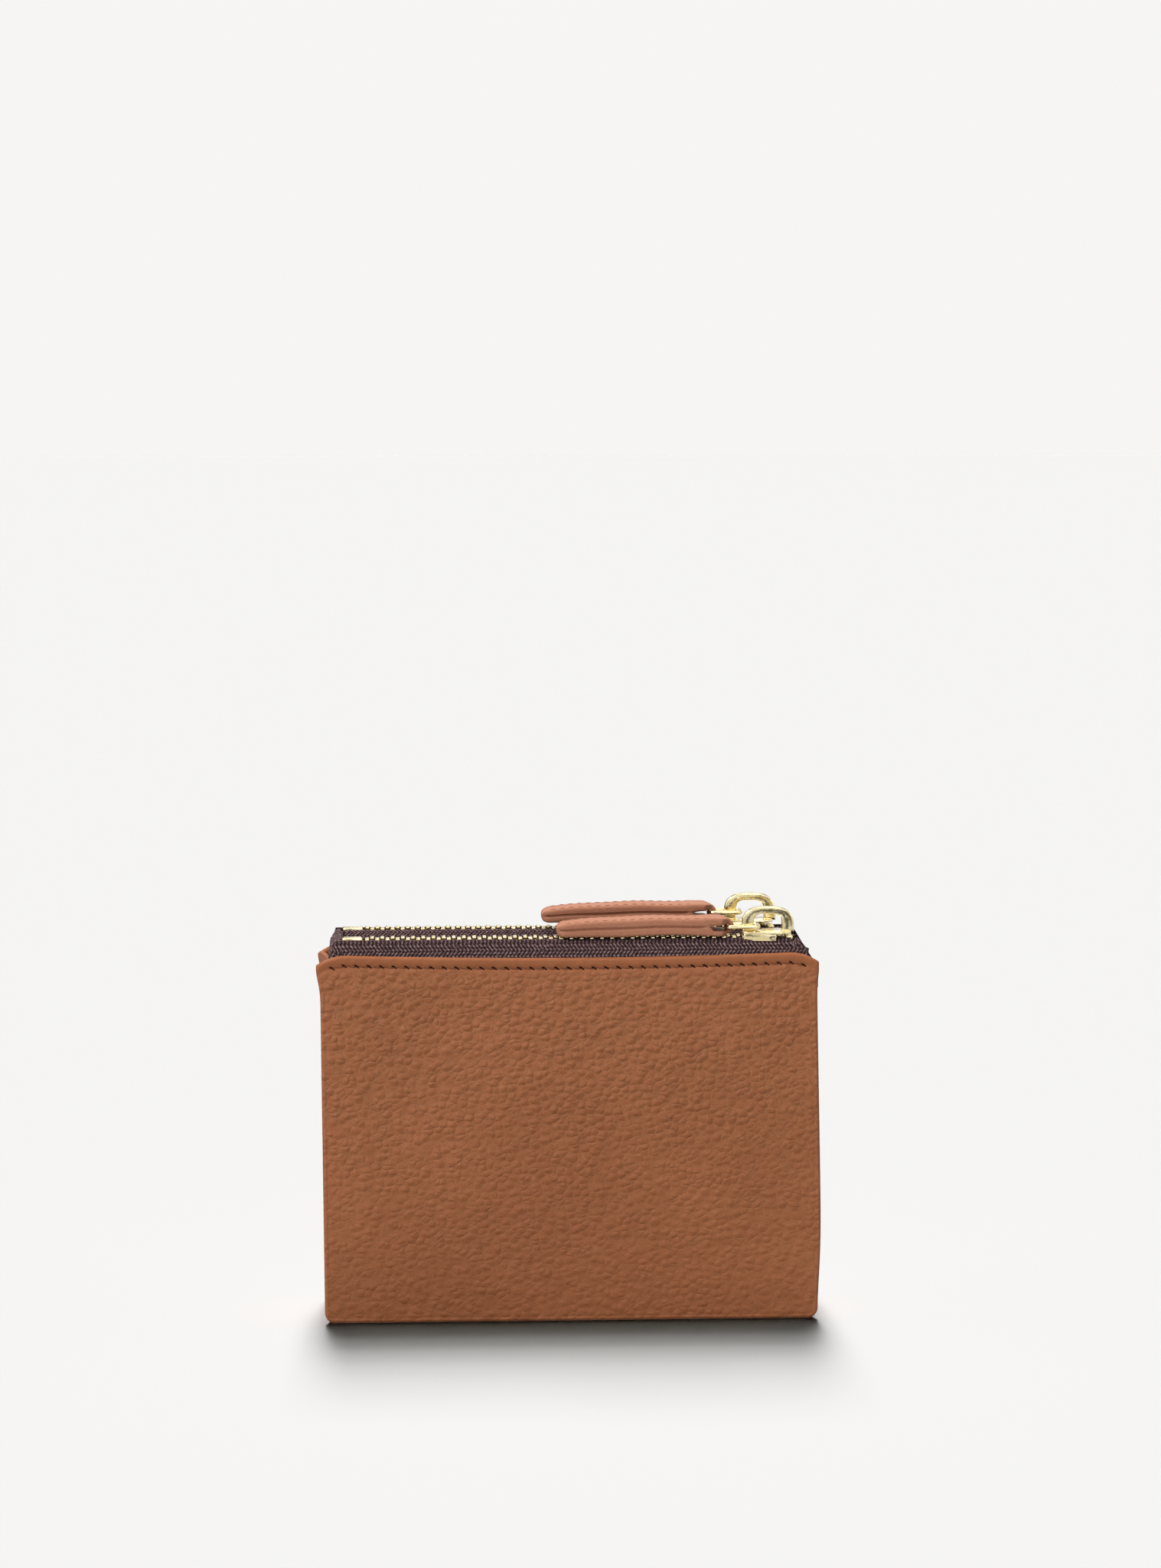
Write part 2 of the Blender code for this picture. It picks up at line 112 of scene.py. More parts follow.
def new_piece(name, vertices, faces, material):
    """A smooth-shaded mesh that remembers where its vertices lie at rest, for its material."""
    mesh = bpy.data.meshes.new(name)
    mesh.from_pydata(vertices, [], faces)
    mesh.shade_smooth()
    obj = bpy.data.objects.new(name, mesh)
    bpy.context.scene.collection.objects.link(obj)
    mesh.materials.append(material)
    remember_place(mesh)
    return obj


def vertex_places(mesh):
    places = np.empty(len(mesh.vertices) * 3, np.float32)
    mesh.vertices.foreach_get("co", places)
    return places.reshape(-1, 3)


def remember_place(mesh):
    """Stores each vertex's place at rest, in millimetres, as the attribute the patterns are drawn on."""
    attribute = mesh.attributes.get("place") or mesh.attributes.new("place", "FLOAT_VECTOR", "POINT")
    attribute.data.foreach_set("vector", vertex_places(mesh).ravel() / MM)


def grid_faces(rows, columns, wrap_rows=False, wrap_columns=False, flip=False):
    """Quads of a rows by columns lattice whose vertices are numbered row by row."""
    faces = []
    for row in range(rows if wrap_rows else rows - 1):
        near, far = row * columns, (row + 1) % rows * columns
        for column in range(columns if wrap_columns else columns - 1):
            after = (column + 1) % columns
            quad = (near + column, near + after, far + after, far + column)
            faces.append(quad[::-1] if flip else quad)
    return faces


class Builder:
    """Collects sheets and tubes and turns them into one piece."""

    def __init__(self):
        self.vertices = []
        self.faces = []

    def add(self, vertices, faces):
        first = len(self.vertices)
        self.vertices.extend(np.asarray(vertices).reshape(-1, 3).tolist())
        self.faces.extend(tuple(first + index for index in face) for face in faces)

    def tube(self, rings, closed=False):
        """Joins rings of points end to end; an open tube gets a cap at each end."""
        rings = np.asarray(rings)
        count, around = rings.shape[:2]
        faces = grid_faces(count, around, wrap_rows=closed, wrap_columns=True)
        if not closed:
            faces.append(tuple(range(around))[::-1])
            faces.append(tuple((count - 1) * around + index for index in range(around)))
        self.add(rings, faces)

    def sheet(self, points, flip=False):
        points = np.asarray(points)
        self.add(points, grid_faces(*points.shape[:2], flip=flip))

    def piece(self, name, material, weld=0.0):
        obj = new_piece(name, self.vertices, self.faces, material)
        shape = bmesh.new()
        shape.from_mesh(obj.data)
        if weld:
            bmesh.ops.remove_doubles(shape, verts=shape.verts, dist=weld)
        bmesh.ops.recalc_face_normals(shape, faces=shape.faces)
        shape.to_mesh(obj.data)
        shape.free()
        return obj


def tube_piece(name, rings, material):
    tube = Builder()
    tube.tube(rings)
    return tube.piece(name, material)


def smooth_line(points, steps):
    """A curve through the points, with the given number of steps from each to the next."""
    points = np.asarray(points, float)
    padded = np.vstack([2 * points[0] - points[1], points, 2 * points[-1] - points[-2]])
    line = []
    for before, start, end, after in zip(padded, padded[1:], padded[2:], padded[3:]):
        for t in np.arange(steps) / steps:
            middle = (end - before) * t + (2 * before - 5 * start + 4 * end - after) * t**2
            line.append(start + 0.5 * (middle + (3 * start - before - 3 * end + after) * t**3))
    line.append(points[-1])
    return np.array(line)


def unit(vectors):
    return vectors / np.linalg.norm(vectors, axis=1, keepdims=True)


def normals_of(line, closed=False):
    """Unit normals of a flat line, to the left of its direction."""
    if closed:
        along = unit(np.roll(line, -1, axis=0) - np.roll(line, 1, axis=0))
    else:
        along = unit(np.gradient(line, axis=0))
    return np.stack([-along[:, 1], along[:, 0]], axis=1)


def thick_outline(line, thickness):
    """The closed outline of a strip of the given thickness round a flat line, with rounded ends."""
    normals = normals_of(line)
    half = thickness / 2
    ends = []
    for point, normal, direction in ((line[-1], normals[-1], 1), (line[0], normals[0], -1)):
        forward = direction * np.array([normal[1], -normal[0]])
        for angle in np.radians([-45, 0, 45]):
            ends.append(point + half * (math.cos(angle) * forward - math.sin(angle) * normal * direction))
    left = line + half * normals
    right = line - half * normals
    return np.vstack([left, ends[:3], right[::-1], ends[3:]])


def circle(radius, steps):
    angles = np.arange(steps) * 2 * math.pi / steps
    return radius * np.stack([np.cos(angles), np.sin(angles)], axis=1)


def rounded_box_ring(half_u, half_v, corner, steps=4):
    """The outline of a rectangle with rounded corners, as points in its own plane."""
    points = []
    for quarter, (u, v) in enumerate(((1, 1), (-1, 1), (-1, -1), (1, -1))):
        for angle in np.linspace(0, math.pi / 2, steps) + quarter * math.pi / 2:
            across = u * (half_u - corner) + corner * math.cos(angle)
            points.append((across, v * (half_v - corner) + corner * math.sin(angle)))
    return np.array(points)


def placed(ring, centre, first, second):
    """A flat ring set in space: its two axes run along the two directions, from the centre."""
    return centre + np.outer(ring[:, 0], first) + np.outer(ring[:, 1], second)


def slab(outline, low, high, rounding):
    """Vertices and faces of a plate with the given outline in XY and rounded edges."""
    shape = bmesh.new()
    face = shape.faces.new([shape.verts.new((x, y, low)) for x, y in outline])
    made = bmesh.ops.extrude_face_region(shape, geom=[face])["geom"]
    raised = [item for item in made if isinstance(item, bmesh.types.BMVert)]
    bmesh.ops.translate(shape, vec=(0, 0, high - low), verts=raised)
    bmesh.ops.recalc_face_normals(shape, faces=shape.faces)
    sharp = [edge for edge in shape.edges if edge.calc_face_angle(0.0) > 0.7]
    bmesh.ops.bevel(shape, geom=sharp, offset=rounding, segments=3, profile=0.5, affect="EDGES")
    shape.verts.index_update()
    vertices = [tuple(vert.co) for vert in shape.verts]
    faces = [tuple(vert.index for vert in face.verts) for face in shape.faces]
    shape.free()
    return vertices, faces


def rectangle(x_span, y_span):
    (x0, x1), (y0, y1) = sorted(x_span), sorted(y_span)
    return [(x0, y0), (x1, y0), (x1, y1), (x0, y1)]


def box_of(node):
    return np.array(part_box(node))


def distances(node, axis):
    """How near to the middle of an axis a CAD node begins, and how far from it the node ends."""
    low, high = box_of(node)
    return sorted((abs(low[axis]), abs(high[axis])))


def joint_place(name):
    joint = next(joint for joint in frame["joints"] if joint["name"] == name)
    return np.array(joint["pos_m"])


def stand_for(node):
    """Hides a CAD node, where a built piece stands in its place."""
    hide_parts(node)


def bend_with_wall(obj):
    """Bakes the piece's placement into its mesh."""
    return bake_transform(obj)


def ease(value, start, end):
    """0 before start and 1 after end, with a smooth step between them."""
    t = np.clip((value - start) / (end - start), 0, 1)
    return t * t * (3 - 2 * t)


def hump(value, width):
    """1 where the value is 0, falling off smoothly on both sides of it."""
    return np.exp(-((value / width) ** 2))


# Materials


def add_node(near, kind, inputs=None, **settings):
    """A new node in the tree of the given node or socket, with its inputs fed or set."""
    tree = near.id_data
    node = tree.nodes.new("ShaderNode" + kind)
    for name, value in settings.items():
        setattr(node, name, value)
    for socket, value in (inputs or {}).items():
        if isinstance(value, bpy.types.NodeSocket):
            tree.links.new(value, node.inputs[socket])
        else:
            node.inputs[socket].default_value = value
    return node


def new_material(name, **values):
    """A Principled material; keywords are its inputs with underscores for spaces."""
    material = bpy.data.materials.new(name)
    material.use_nodes = True
    shader = material.node_tree.nodes["Principled BSDF"]
    for key, value in values.items():
        shader.inputs[key.replace("_", " ")].default_value = value
    return material, shader


def linear(red, green, blue):
    """A colour given as 8-bit screen values, in the linear values that shaders take."""
    values = [channel / 255 for channel in (red, green, blue)]
    return (*[v / 12.92 if v <= 0.04045 else ((v + 0.055) / 1.055) ** 2.4 for v in values], 1.0)


def place_of(shader, cad=False):
    """Where the shaded point lies at rest, in millimetres."""
    if not cad:
        return add_node(shader, "Attribute", attribute_name="place").outputs["Vector"]
    return scaled(add_node(shader, "TexCoord").outputs["Object"], 1 / MM)


def scaled(vector, factor):
    return add_node(vector, "VectorMath", {0: vector, 3: factor}, operation="SCALE").outputs[0]


def stretched(vector, scale, turn=(0, 0, 0)):
    angles = tuple(math.radians(angle) for angle in turn)
    inputs = {"Vector": vector, "Rotation": angles, "Scale": scale}
    return add_node(vector, "Mapping", inputs).outputs["Vector"]


def noise(vector, scale, detail=2.0, roughness=0.5, output="Fac"):
    inputs = {"Vector": vector, "Scale": scale, "Detail": detail, "Roughness": roughness}
    return add_node(vector, "TexNoise", inputs).outputs[output]


def ramp(value, low, high, start=0.0, end=1.0, smooth=True):
    """Carries low..high to start..end and holds it there beyond them."""
    inputs = {"Value": value, "From Min": low, "From Max": high, "To Min": start, "To Max": end}
    kind = "SMOOTHSTEP" if smooth else "LINEAR"
    return add_node(value, "MapRange", inputs, interpolation_type=kind).outputs["Result"]


def maths(operation, first, second=0.0):
    return add_node(first, "Math", {0: first, 1: second}, operation=operation).outputs[0]


def times(first, second):
    return maths("MULTIPLY", first, second)


def plus(first, second):
    return maths("ADD", first, second)


def wave(value, period):
    return maths("SINE", times(value, 2 * math.pi / period))


def mix_colour(share, first, second):
    inputs = {0: share, 6: first, 7: second}
    return add_node(share, "Mix", inputs, data_type="RGBA").outputs[2]


def feed(shader, name, value):
    shader.id_data.links.new(value, shader.inputs[name])


def bump(shader, height, distance):
    """Gives a shader the relief of a height that runs from 0 to 1, distance metres high."""
    inputs = {"Height": height, "Distance": distance}
    feed(shader, "Normal", add_node(shader, "Bump", inputs).outputs["Normal"])


def grains(place, pebble):
    """Rounded grains of about the given size: how far each point is up its dome, and in a crease."""
    wander = noise(place, 0.55 / pebble, 3.0, 0.6, "Color")
    centred = add_node(place, "VectorMath", {0: wander, 1: (-0.5, -0.5, -0.5)}).outputs[0]
    pushed = scaled(centred, 0.9 * pebble)
    bent = add_node(place, "VectorMath", {0: place, 1: pushed}).outputs[0]
    cell = {"Vector": stretched(bent, (0.85, 1.0, 1.15), turn=(0, 14, 0)), "Scale": 1 / pebble}
    soft_cell = {**cell, "Smoothness": 0.3}
    middle = add_node(place, "TexVoronoi", soft_cell, feature="SMOOTH_F1").outputs["Distance"]
    border = add_node(place, "TexVoronoi", cell, feature="DISTANCE_TO_EDGE").outputs["Distance"]
    return ramp(middle, 0.0, 0.75, 1.0, 0.0), ramp(border, 0.0, 0.14, 1.0, 0.0)


def leather(name, base, crease_shade_tone, light_tone, speck_highlight_tone, pebble, depth):
    """Pebbled leather: soft rounded grains with shallow creases between them, pores and a soft sheen.
    Painted shade darkens the creases, and light specks beside them are painted highlights.

    pebble is the size of a grain in millimetres and depth the height of its dome in metres.
    """
    material, shader = new_material(name, Roughness=0.5, Specular_IOR_Level=0.35)
    place = place_of(shader)
    dome, crease = grains(place, pebble)
    strength = ramp(noise(place, 0.4 / pebble), 0.4, 0.65, 0.3, 1.0)
    raised = grain_strength(place)
    sunk = times(times(crease, strength), raised)
    pores = noise(place, 4.2, 3.0, 0.65)
    height = times(times(dome, raised), 0.9)
    height = maths("SUBTRACT", height, times(sunk, 0.2))
    for share, part in ((0.35, pores), (1.2, noise(place, 0.35, 1.0))):
        height = plus(height, times(part, share))
    bump(shader, height, depth)

    tone = ramp(noise(place, 0.03), 0.35, 0.65)
    colour = mix_colour(tone, base, light_tone)
    # painted shade: the colour darkens in the creases
    colour = mix_colour(times(sunk, 0.4), colour, crease_shade_tone)
    # painted highlights: light specks on the raised grain beside the creases
    speck_highlight = ramp(plus(noise(place, 2.6), crease), 0.75, 1.3, 0.0, 0.22)
    feed(shader, "Base Color", mix_colour(times(speck_highlight, raised), colour, speck_highlight_tone))
    gloss = ramp(dome, 0.2, 1.0, 0.58, 0.44)
    feed(shader, "Roughness", plus(gloss, times(pores, 0.06)))
    return material


def grain_strength(place):
    """Less grain towards the foot, and almost none where the attribute "pressed" is 1, beside a seam."""
    pressed = add_node(place, "Attribute", attribute_name="pressed").outputs["Fac"]
    level = add_node(place, "SeparateXYZ", {"Vector": place}).outputs["Z"]
    flattened = ramp(pressed, 0.0, 1.0, 1.0, 0.12, smooth=False)
    return times(flattened, ramp(level, 0.0, 70.0, 0.5, 1.25, smooth=False))


def woven_tape(name):
    """Zip tape: slanting ribs that turn back on each other, with single bright fibres. Its colour carries
    painted shade in the low parts of the weave and painted highlights on the bright fibres, over a random
    fibre tone.
    """
    material, shader = new_material(name, Roughness=0.9, Specular_IOR_Level=0.15)
    place = place_of(shader)
    split = add_node(place, "SeparateXYZ", {"Vector": place}).outputs
    down = plus(split["Z"], maths("ABSOLUTE", split["Y"]))
    zigzag = maths("PINGPONG", down, 1.1)
    slant = plus(split["X"], times(zigzag, 0.9))
    loose = noise(place, 1.3, 2.0)
    slant = plus(slant, times(loose, 0.5))
    rib = wave(slant, 0.9)
    weft = wave(down, 0.65)
    fuzz = noise(stretched(place, (1.0, 1.4, 1.4), turn=(0, 20, 0)), 1.9, 3.0, 0.75)
    weave = plus(times(rib, 0.5), times(weft, 0.25))
    height = plus(weave, times(fuzz, 1.6))
    bump(shader, height, 0.13 * MM)
    # painted shade: darker where the weave and fibres lie low, as well as a random fibre tone
    light = plus(times(weave, 0.35), fuzz)
    colour = mix_colour(ramp(light, 0.3, 0.62), linear(32, 20, 22), linear(82, 61, 60))
    # painted highlights on single fibres
    bright = ramp(light, 0.6, 0.82)
    colour = mix_colour(bright, colour, linear(146, 124, 124))
    feed(shader, "Base Color", colour)
    return material


def lining_cloth(name):
    """Plain woven lining, fine enough to read as a soft sheen."""
    material, shader = new_material(name, Roughness=0.7, Sheen_Weight=0.2, Sheen_Roughness=0.5)
    place = place_of(shader)
    split = add_node(place, "SeparateXYZ", {"Vector": place}).outputs
    warp = wave(split["X"], 0.5)
    weft = wave(split["Z"], 0.5)
    weave = times(warp, weft)
    fuzz = noise(place, 1.2, 3.0)
    bump(shader, plus(weave, fuzz), 0.06 * MM)
    share = ramp(plus(times(weave, 0.15), fuzz), 0.3, 0.75)
    feed(shader, "Base Color", mix_colour(share, linear(78, 58, 50), linear(112, 86, 74)))
    return material


def pasteboard(name, cad=False):
    material, shader = new_material(name, Roughness=0.9)
    speckle = noise(place_of(shader, cad), 2.0, 4.0, 0.7)
    colour = mix_colour(ramp(speckle, 0.35, 0.7), linear(150, 138, 118), linear(178, 166, 144))
    feed(shader, "Base Color", colour)
    bump(shader, speckle, 0.08 * MM)
    return material


def gold(name):
    """Pale gold plate: bright, slightly uneven from polishing, duller in fine scuffs."""
    material, shader = new_material(name, Metallic=1.0, Roughness=0.14)
    place = place_of(shader)
    swell = noise(place, 0.5, 2.0)
    colour = mix_colour(ramp(swell, 0.35, 0.65), linear(238, 222, 172), linear(246, 234, 196))
    feed(shader, "Base Color", colour)
    scuffs = noise(stretched(place, (0.6, 2.0, 2.0)), 2.6, 3.0, 0.65)
    feed(shader, "Roughness", ramp(scuffs, 0.4, 0.8, 0.1, 0.26))
    bump(shader, swell, 0.06 * MM)
    return material


def thread(name, colour, shade):
    material, shader = new_material(name, Roughness=0.75, Specular_IOR_Level=0.2)
    twist = noise(stretched(place_of(shader), (1.2, 1.0, 3.0), turn=(0, 30, 0)), 2.6, 2.0)
    feed(shader, "Base Color", mix_colour(ramp(twist, 0.35, 0.65), shade, colour))
    bump(shader, twist, 0.05 * MM)
    return material


def stitch_hole_shade(name):
    """Painted shade of a needle hole's inside, uneven where thread fills it."""
    material, shader = new_material(name, Roughness=0.9, Specular_IOR_Level=0.1)
    fill = noise(place_of(shader), 3.0, 1.0)
    colour = mix_colour(fill, linear(34, 15, 9), linear(56, 28, 16))
    feed(shader, "Base Color", colour)
    return material


# Leather shell


def lean(points):
    """The soft shell as it stands: foot slipped to the right, sides tapered, top corners flared."""
    points = np.array(points, float)
    high = box_of("front_panel")[1]
    rise = points[..., 2] / high[2]
    flare = np.where(points[..., 0] < 0, *FLARE) * hump(points[..., 2] - high[2] + 3 * MM, FLARE_HEIGHT)
    sideways = points[..., 0] / high[0]
    spread = flare - WAIST + TAPER * high[0] * (0.5 - rise)
    tuck = FOOT_TUCK * np.clip(sideways, 0, None) * hump(points[..., 2], TUCK_HEIGHT)
    points[..., 0] += SHEAR * (0.5 - rise) + sideways * spread - tuck
    return points


def wall_top(side, x):
    """Height of a wall's top edge: sagging in the middle and dropping in an arc at both corners."""
    high = box_of(f"{side}_panel")[1]
    corner_reach, corner_radius = CORNERS[side]
    straight = high[0] - corner_reach
    reach = np.clip(np.abs(x) - straight, 0, None)
    sag = TOP_SAG * np.clip(1 - (x / straight) ** 2, 0, None)
    return high[2] - sag - corner_radius + np.sqrt(corner_radius**2 - reach**2)


def wall_foot(x, low, high):
    reach = np.clip(np.abs(x) - (high[0] - FOOT_RADIUS), 0, FOOT_RADIUS)
    return low[2] + FOOT_RADIUS - np.sqrt(np.clip(FOOT_RADIUS**2 - reach**2, 0, None))


def stations(length, edge_steps, step):
    """Distances from 0 to length: close together at both ends and evenly spaced between them."""
    edge = np.asarray(edge_steps)
    middle = np.linspace(edge[-1], length - edge[-1], max(2, int((length - 2 * edge[-1]) / step)))
    return np.concatenate([edge[:-1], middle, (length - edge[:-1])[::-1]])


def wall_grid(side):
    """X and Z of a wall's grid, and each point's distance from the outline."""
    low, high = box_of(f"{side}_panel")
    close = np.array([0, 0.04, 0.12, 0.25, 0.42, 0.6, 0.75, 0.9, 1.05, 1.3]) * MM
    x = low[0] + stations(high[0] - low[0], close, 0.45 * MM)
    rows = np.concatenate([close, np.arange(1.55, 4.5, 0.25) * MM])
    height = high[2] - low[2]
    share = stations(height, rows, 0.9 * MM) / height
    foot, top = wall_foot(x, low, high), wall_top(side, x)
    z = foot + (top - foot) * share[:, None]
    x = np.broadcast_to(x, z.shape)
    slope = np.gradient(top, x[0])
    edge = np.minimum((top - z) / np.sqrt(1 + slope**2), z - foot)
    edge = np.minimum(edge, high[0] - np.abs(x))
    return x, z, np.clip(edge, 0, None)


def soft_waves(x, z, seed):
    """Slow unevenness of the leather over its board, between -1 and 1."""
    random = np.random.default_rng(seed)
    total = np.zeros_like(x)
    for _ in range(7):
        angle, length = random.uniform(0, math.pi), random.uniform(16, 45) * MM
        phase = random.uniform(0, 2 * math.pi)
        total += np.sin((x * math.cos(angle) + z * math.sin(angle)) * 2 * math.pi / length + phase)
    return total / 7


def seam_places(side):
    """X and Z of the needle holes along a wall's seam."""
    low, high = box_of(f"{side}_panel")
    fine = np.linspace(low[0] + 0.2 * MM, high[0] - 0.2 * MM, 800)
    top = wall_top(side, fine)
    slope = np.gradient(top, fine)
    scale = SEAM_DROP / np.sqrt(1 + slope**2)
    line = np.stack([fine + slope * scale, top - scale], axis=1)
    lengths = np.concatenate([[0], np.cumsum(np.linalg.norm(np.diff(line, axis=0), axis=1))])
    count = int(lengths[-1] / STITCH_PITCH)
    wanted = (np.arange(count) + 0.5) * STITCH_PITCH + (lengths[-1] - count * STITCH_PITCH) / 2
    return np.stack([np.interp(wanted, lengths, values) for values in line.T], axis=1)


def wall_depth(side, x, z, edge):
    """How far the outer face lies behind the plane y = +-12.5 mm, towards the inside."""
    low, high = box_of(f"{side}_panel")
    inside = np.clip(1 - edge / RIM, 0, 1)
    roll = RIM * (1 - np.sqrt(1 - inside**2))
    centre = (low[2] + high[2]) / 2
    bulge = (1 - (x / high[0]) ** 2) * (1 - ((z - centre) / (high[2] - centre)) ** 2)
    crown = -CROWN * np.clip(bulge, 0, 1) - UNEVEN * soft_waves(x, z, 3) * ease(edge, 0, 8 * MM)
    turned = EDGE_GROOVE * hump(edge - 1.15 * MM, 0.22 * MM) * (z < high[2] - 6 * MM)
    gutter = GUTTER * hump(wall_top(side, x) - z - SEAM_DROP, 0.6 * MM)
    pinch = np.zeros_like(x)
    for hole_x, hole_z in seam_places(side):
        pinch += PINCH * np.exp(-((x - hole_x) ** 2 + (z - hole_z) ** 2) / PINCH_REACH**2)
    return roll + crown + turned + gutter + pinch


def leather_wall(side, sign):
    x, z, edge = wall_grid(side)
    near, far = distances(f"{side}_panel", 1)
    outer = sign * (far - wall_depth(side, x, z, edge))
    inside = np.clip(1 - edge / RIM, 0, 1)
    inner = sign * ((near + far) / 2 - RIM * np.sqrt(1 - inside**2))
    shell = Builder()
    shell.sheet(lean(np.stack([x, outer, z], axis=2)))
    shell.sheet(lean(np.stack([x, inner, z], axis=2)), flip=True)
    wall = shell.piece(f"{side}_leather_wall", OUTER_LEATHER, weld=0.001 * MM)
    press_seam(wall, side)
    wall.visible_diffuse = False
    stand_for(f"{side}_panel")
    bend_with_wall(wall)


def press_seam(wall, side):
    """Marks the band above the seam, where folding and sewing have flattened the grain."""
    points = vertex_places(wall.data)
    drop = wall_top(side, np.clip(points[:, 0], *box_of(f"{side}_panel")[:, 0])) - points[:, 2]
    pressed = 1 - ease(drop, SEAM_DROP - 0.2 * MM, SEAM_DROP + 2.2 * MM)
    attribute = wall.data.attributes.new("pressed", "FLOAT", "POINT")
    attribute.data.foreach_set("value", pressed.astype(np.float32))


def outer_face_y(side, sign, x, z):
    """Y of a wall's outer face away from its rim, before the shell leans."""
    depth = wall_depth(side, x, z, np.full_like(x, 2 * MM))
    return sign * (distances(f"{side}_panel", 1)[1] - depth)


def stitch(side, sign, start, end):
    """A thread from one needle hole to the next: it tilts, and dips into the leather at both ends."""
    share = np.linspace(0.08, 0.92, 9)
    x = start[0] + (end[0] - start[0]) * share
    z = start[1] + (end[1] - start[1]) * share + STITCH_TILT * (1 - 2 * share)
    sunk = 0.25 * MM * np.abs(2 * share - 1) ** 5 - 0.06 * MM * np.sin(math.pi * share)
    y = outer_face_y(side, sign, x, z) - sign * (sunk + 0.02 * MM)
    path = np.stack([x, y, z], axis=1)
    along = unit(np.gradient(path, axis=0))
    across = unit(np.cross(along, (0, sign, 0)))
    up = np.cross(across, along)
    ring = circle(THREAD_RADIUS, 8)
    return lean(path[:, None] + ring[:, :1] * across[:, None] + ring[:, 1:] * up[:, None])


def needle_hole(side, sign, hole):
    """A long slanting pit, as a lid that lies on the leather and carries the hole's painted shade."""
    rim = circle(1.0, 14)
    slant, square = HOLE_LENGTH * np.array([0.86, -0.51]), HOLE_WIDTH * np.array([0.51, 0.86])
    rings = []
    for size, lift in ((1.0, -0.06 * MM), (0.75, 0.02 * MM), (0.2, 0.03 * MM)):
        x, z = (hole + size * (rim[:, :1] * slant + rim[:, 1:] * square)).T
        rings.append(np.stack([x, outer_face_y(side, sign, x, z) + sign * lift, z], axis=1))
    return lean(np.array(rings))


def seam(side, sign):
    """Stitches along the top edge, with a needle hole at both ends of each, as a lid painted with the
    hole's shade.
    """
    holes = seam_places(side)
    threads, pits = Builder(), Builder()
    for start, end in zip(holes, holes[1:]):
        threads.tube(stitch(side, sign, start, end))
    for hole in holes:
        pits.tube(needle_hole(side, sign, hole))
    for obj, slot_name in (
        (threads.piece(f"{side}_seam_thread", SEAM_THREAD), "thread"),
        (pits.piece(f"{side}_seam_hole_shade_lids", SEAM_HOLE_SHADE), "outer_leather"),
    ):
        bend_with_wall(obj)


def base():
    """The leather under the purse, with its long edges rolled up towards the walls."""
    low, high = box_of("base_panel")
    across = np.linspace(-1, 1, 40)
    roll = 1.1 * MM * np.clip((np.abs(across) - 0.88) / 0.12, 0, 1) ** 2
    xs = low[0] + stations(high[0] - low[0], np.array([0, 0.1, 0.3, 0.6, 1.0]) * MM, 1.2 * MM)
    shell = Builder()
    for level, under in ((low[2], True), (high[2], False)):
        grid = []
        for x in xs:
            end = np.clip(1 - min(x - xs[0], xs[-1] - x) / (0.7 * MM), 0, 1)
            squeeze = 0.5 * (high[2] - low[2]) * (1 - math.sqrt(1 - end**2))
            z = level + roll * (1 if under else 0.2) + squeeze * (1 if under else -1)
            z = z + 0.05 * MM * np.sin(x / (6 * MM)) * under
            grid.append(np.stack([np.full(40, x), across * high[1], z], axis=1))
        shell.sheet(lean(np.array(grid)), flip=not under)
    obj = shell.piece("leather_base", OUTER_LEATHER)
    stand_for("base_panel")
    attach(obj, "core")


def gusset_grid(node, direction, shares):
    """Mid-surface of a folded side strip; shares run from -1 at the front wall to 1 at the rear one."""
    low, high = box_of(node)
    near, far = distances(node, 0)
    fold, outer = near + GUSSET_INSET, far - GUSSET_INSET
    heights = np.linspace(low[2] + 0.5 * MM, high[2] - 0.3 * MM, 60)
    grid = np.zeros((len(heights), len(shares), 3))
    for row, z in enumerate(heights):
        rise = (z - heights[0]) / (heights[-1] - heights[0])
        soft = np.sqrt(shares**2 + 0.03) - math.sqrt(0.03)
        x = fold + (outer - fold) * soft / (math.sqrt(1.03) - math.sqrt(0.03))
        x = x + 0.25 * MM * np.sin(math.pi * shares) * np.sin(5 * rise + 1)
        x = x + 0.35 * MM * (1 - shares**2) * np.sin(9 * rise)
        top = np.where(rise > 0.9, (rise - 0.9) * 10, 0)
        grid[row, :, 0] = direction * x
        grid[row, :, 1] = shares * high[1]
        grid[row, :, 2] = z - 0.9 * MM * top * (1 - np.abs(shares)) ** 2
    return grid


def gusset_strip(name, node, direction, span):
    """One piece of a gusset between two places across it, with a rounded top edge."""
    shares = np.linspace(*span, 26)
    middle = gusset_grid(node, direction, shares)
    turn = np.linspace(0.3, math.pi - 0.3, 6)
    bend = np.stack([direction * np.cos(turn), 0 * turn, 0.8 * np.sin(turn)], axis=1)
    rings = []
    for line in middle.transpose(1, 0, 2):
        aside = np.array([direction * GUSSET_HALF, 0, 0])
        cap = line[-1] + GUSSET_HALF * bend
        rings.append(np.vstack([line + aside, cap, (line - aside)[::-1]]))
    return tube_piece(name, lean(rings), OUTER_LEATHER)


def gussets():
    left = gusset_strip("left_gusset_leather", "left_gusset", -1, (-1, 1))
    stand_for("left_gusset")
    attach(left, "core")
    for side, sign in SIDES.items():
        span = (-1, 0) if sign < 0 else (0, 1)
        leg = gusset_strip(f"right_gusset_{side}_leg", "right_gusset", 1, span)
        stand_for("right_gusset")
        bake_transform(leg)


# Inside


def plate_grid(x_span, y_plane, z_span, x_steps, z_steps, uneven=0.0):
    xs, zs = np.meshgrid(np.linspace(*x_span, x_steps), np.linspace(*z_span, z_steps))
    return np.stack([xs, y_plane + uneven * soft_waves(xs, zs, 11), zs], axis=2)


def stiffener(side):
    low, high = box_of(f"{side}_stiffener")
    board = Builder()
    for y, flip in ((low[1], False), (high[1], True)):
        board.sheet(plate_grid((low[0], high[0]), y, (low[2], high[2]), 60, 12), flip=flip)
    obj = board.piece(f"{side}_board", BOARD_BUILT)
    stand_for(f"{side}_stiffener")
    bend_with_wall(obj)


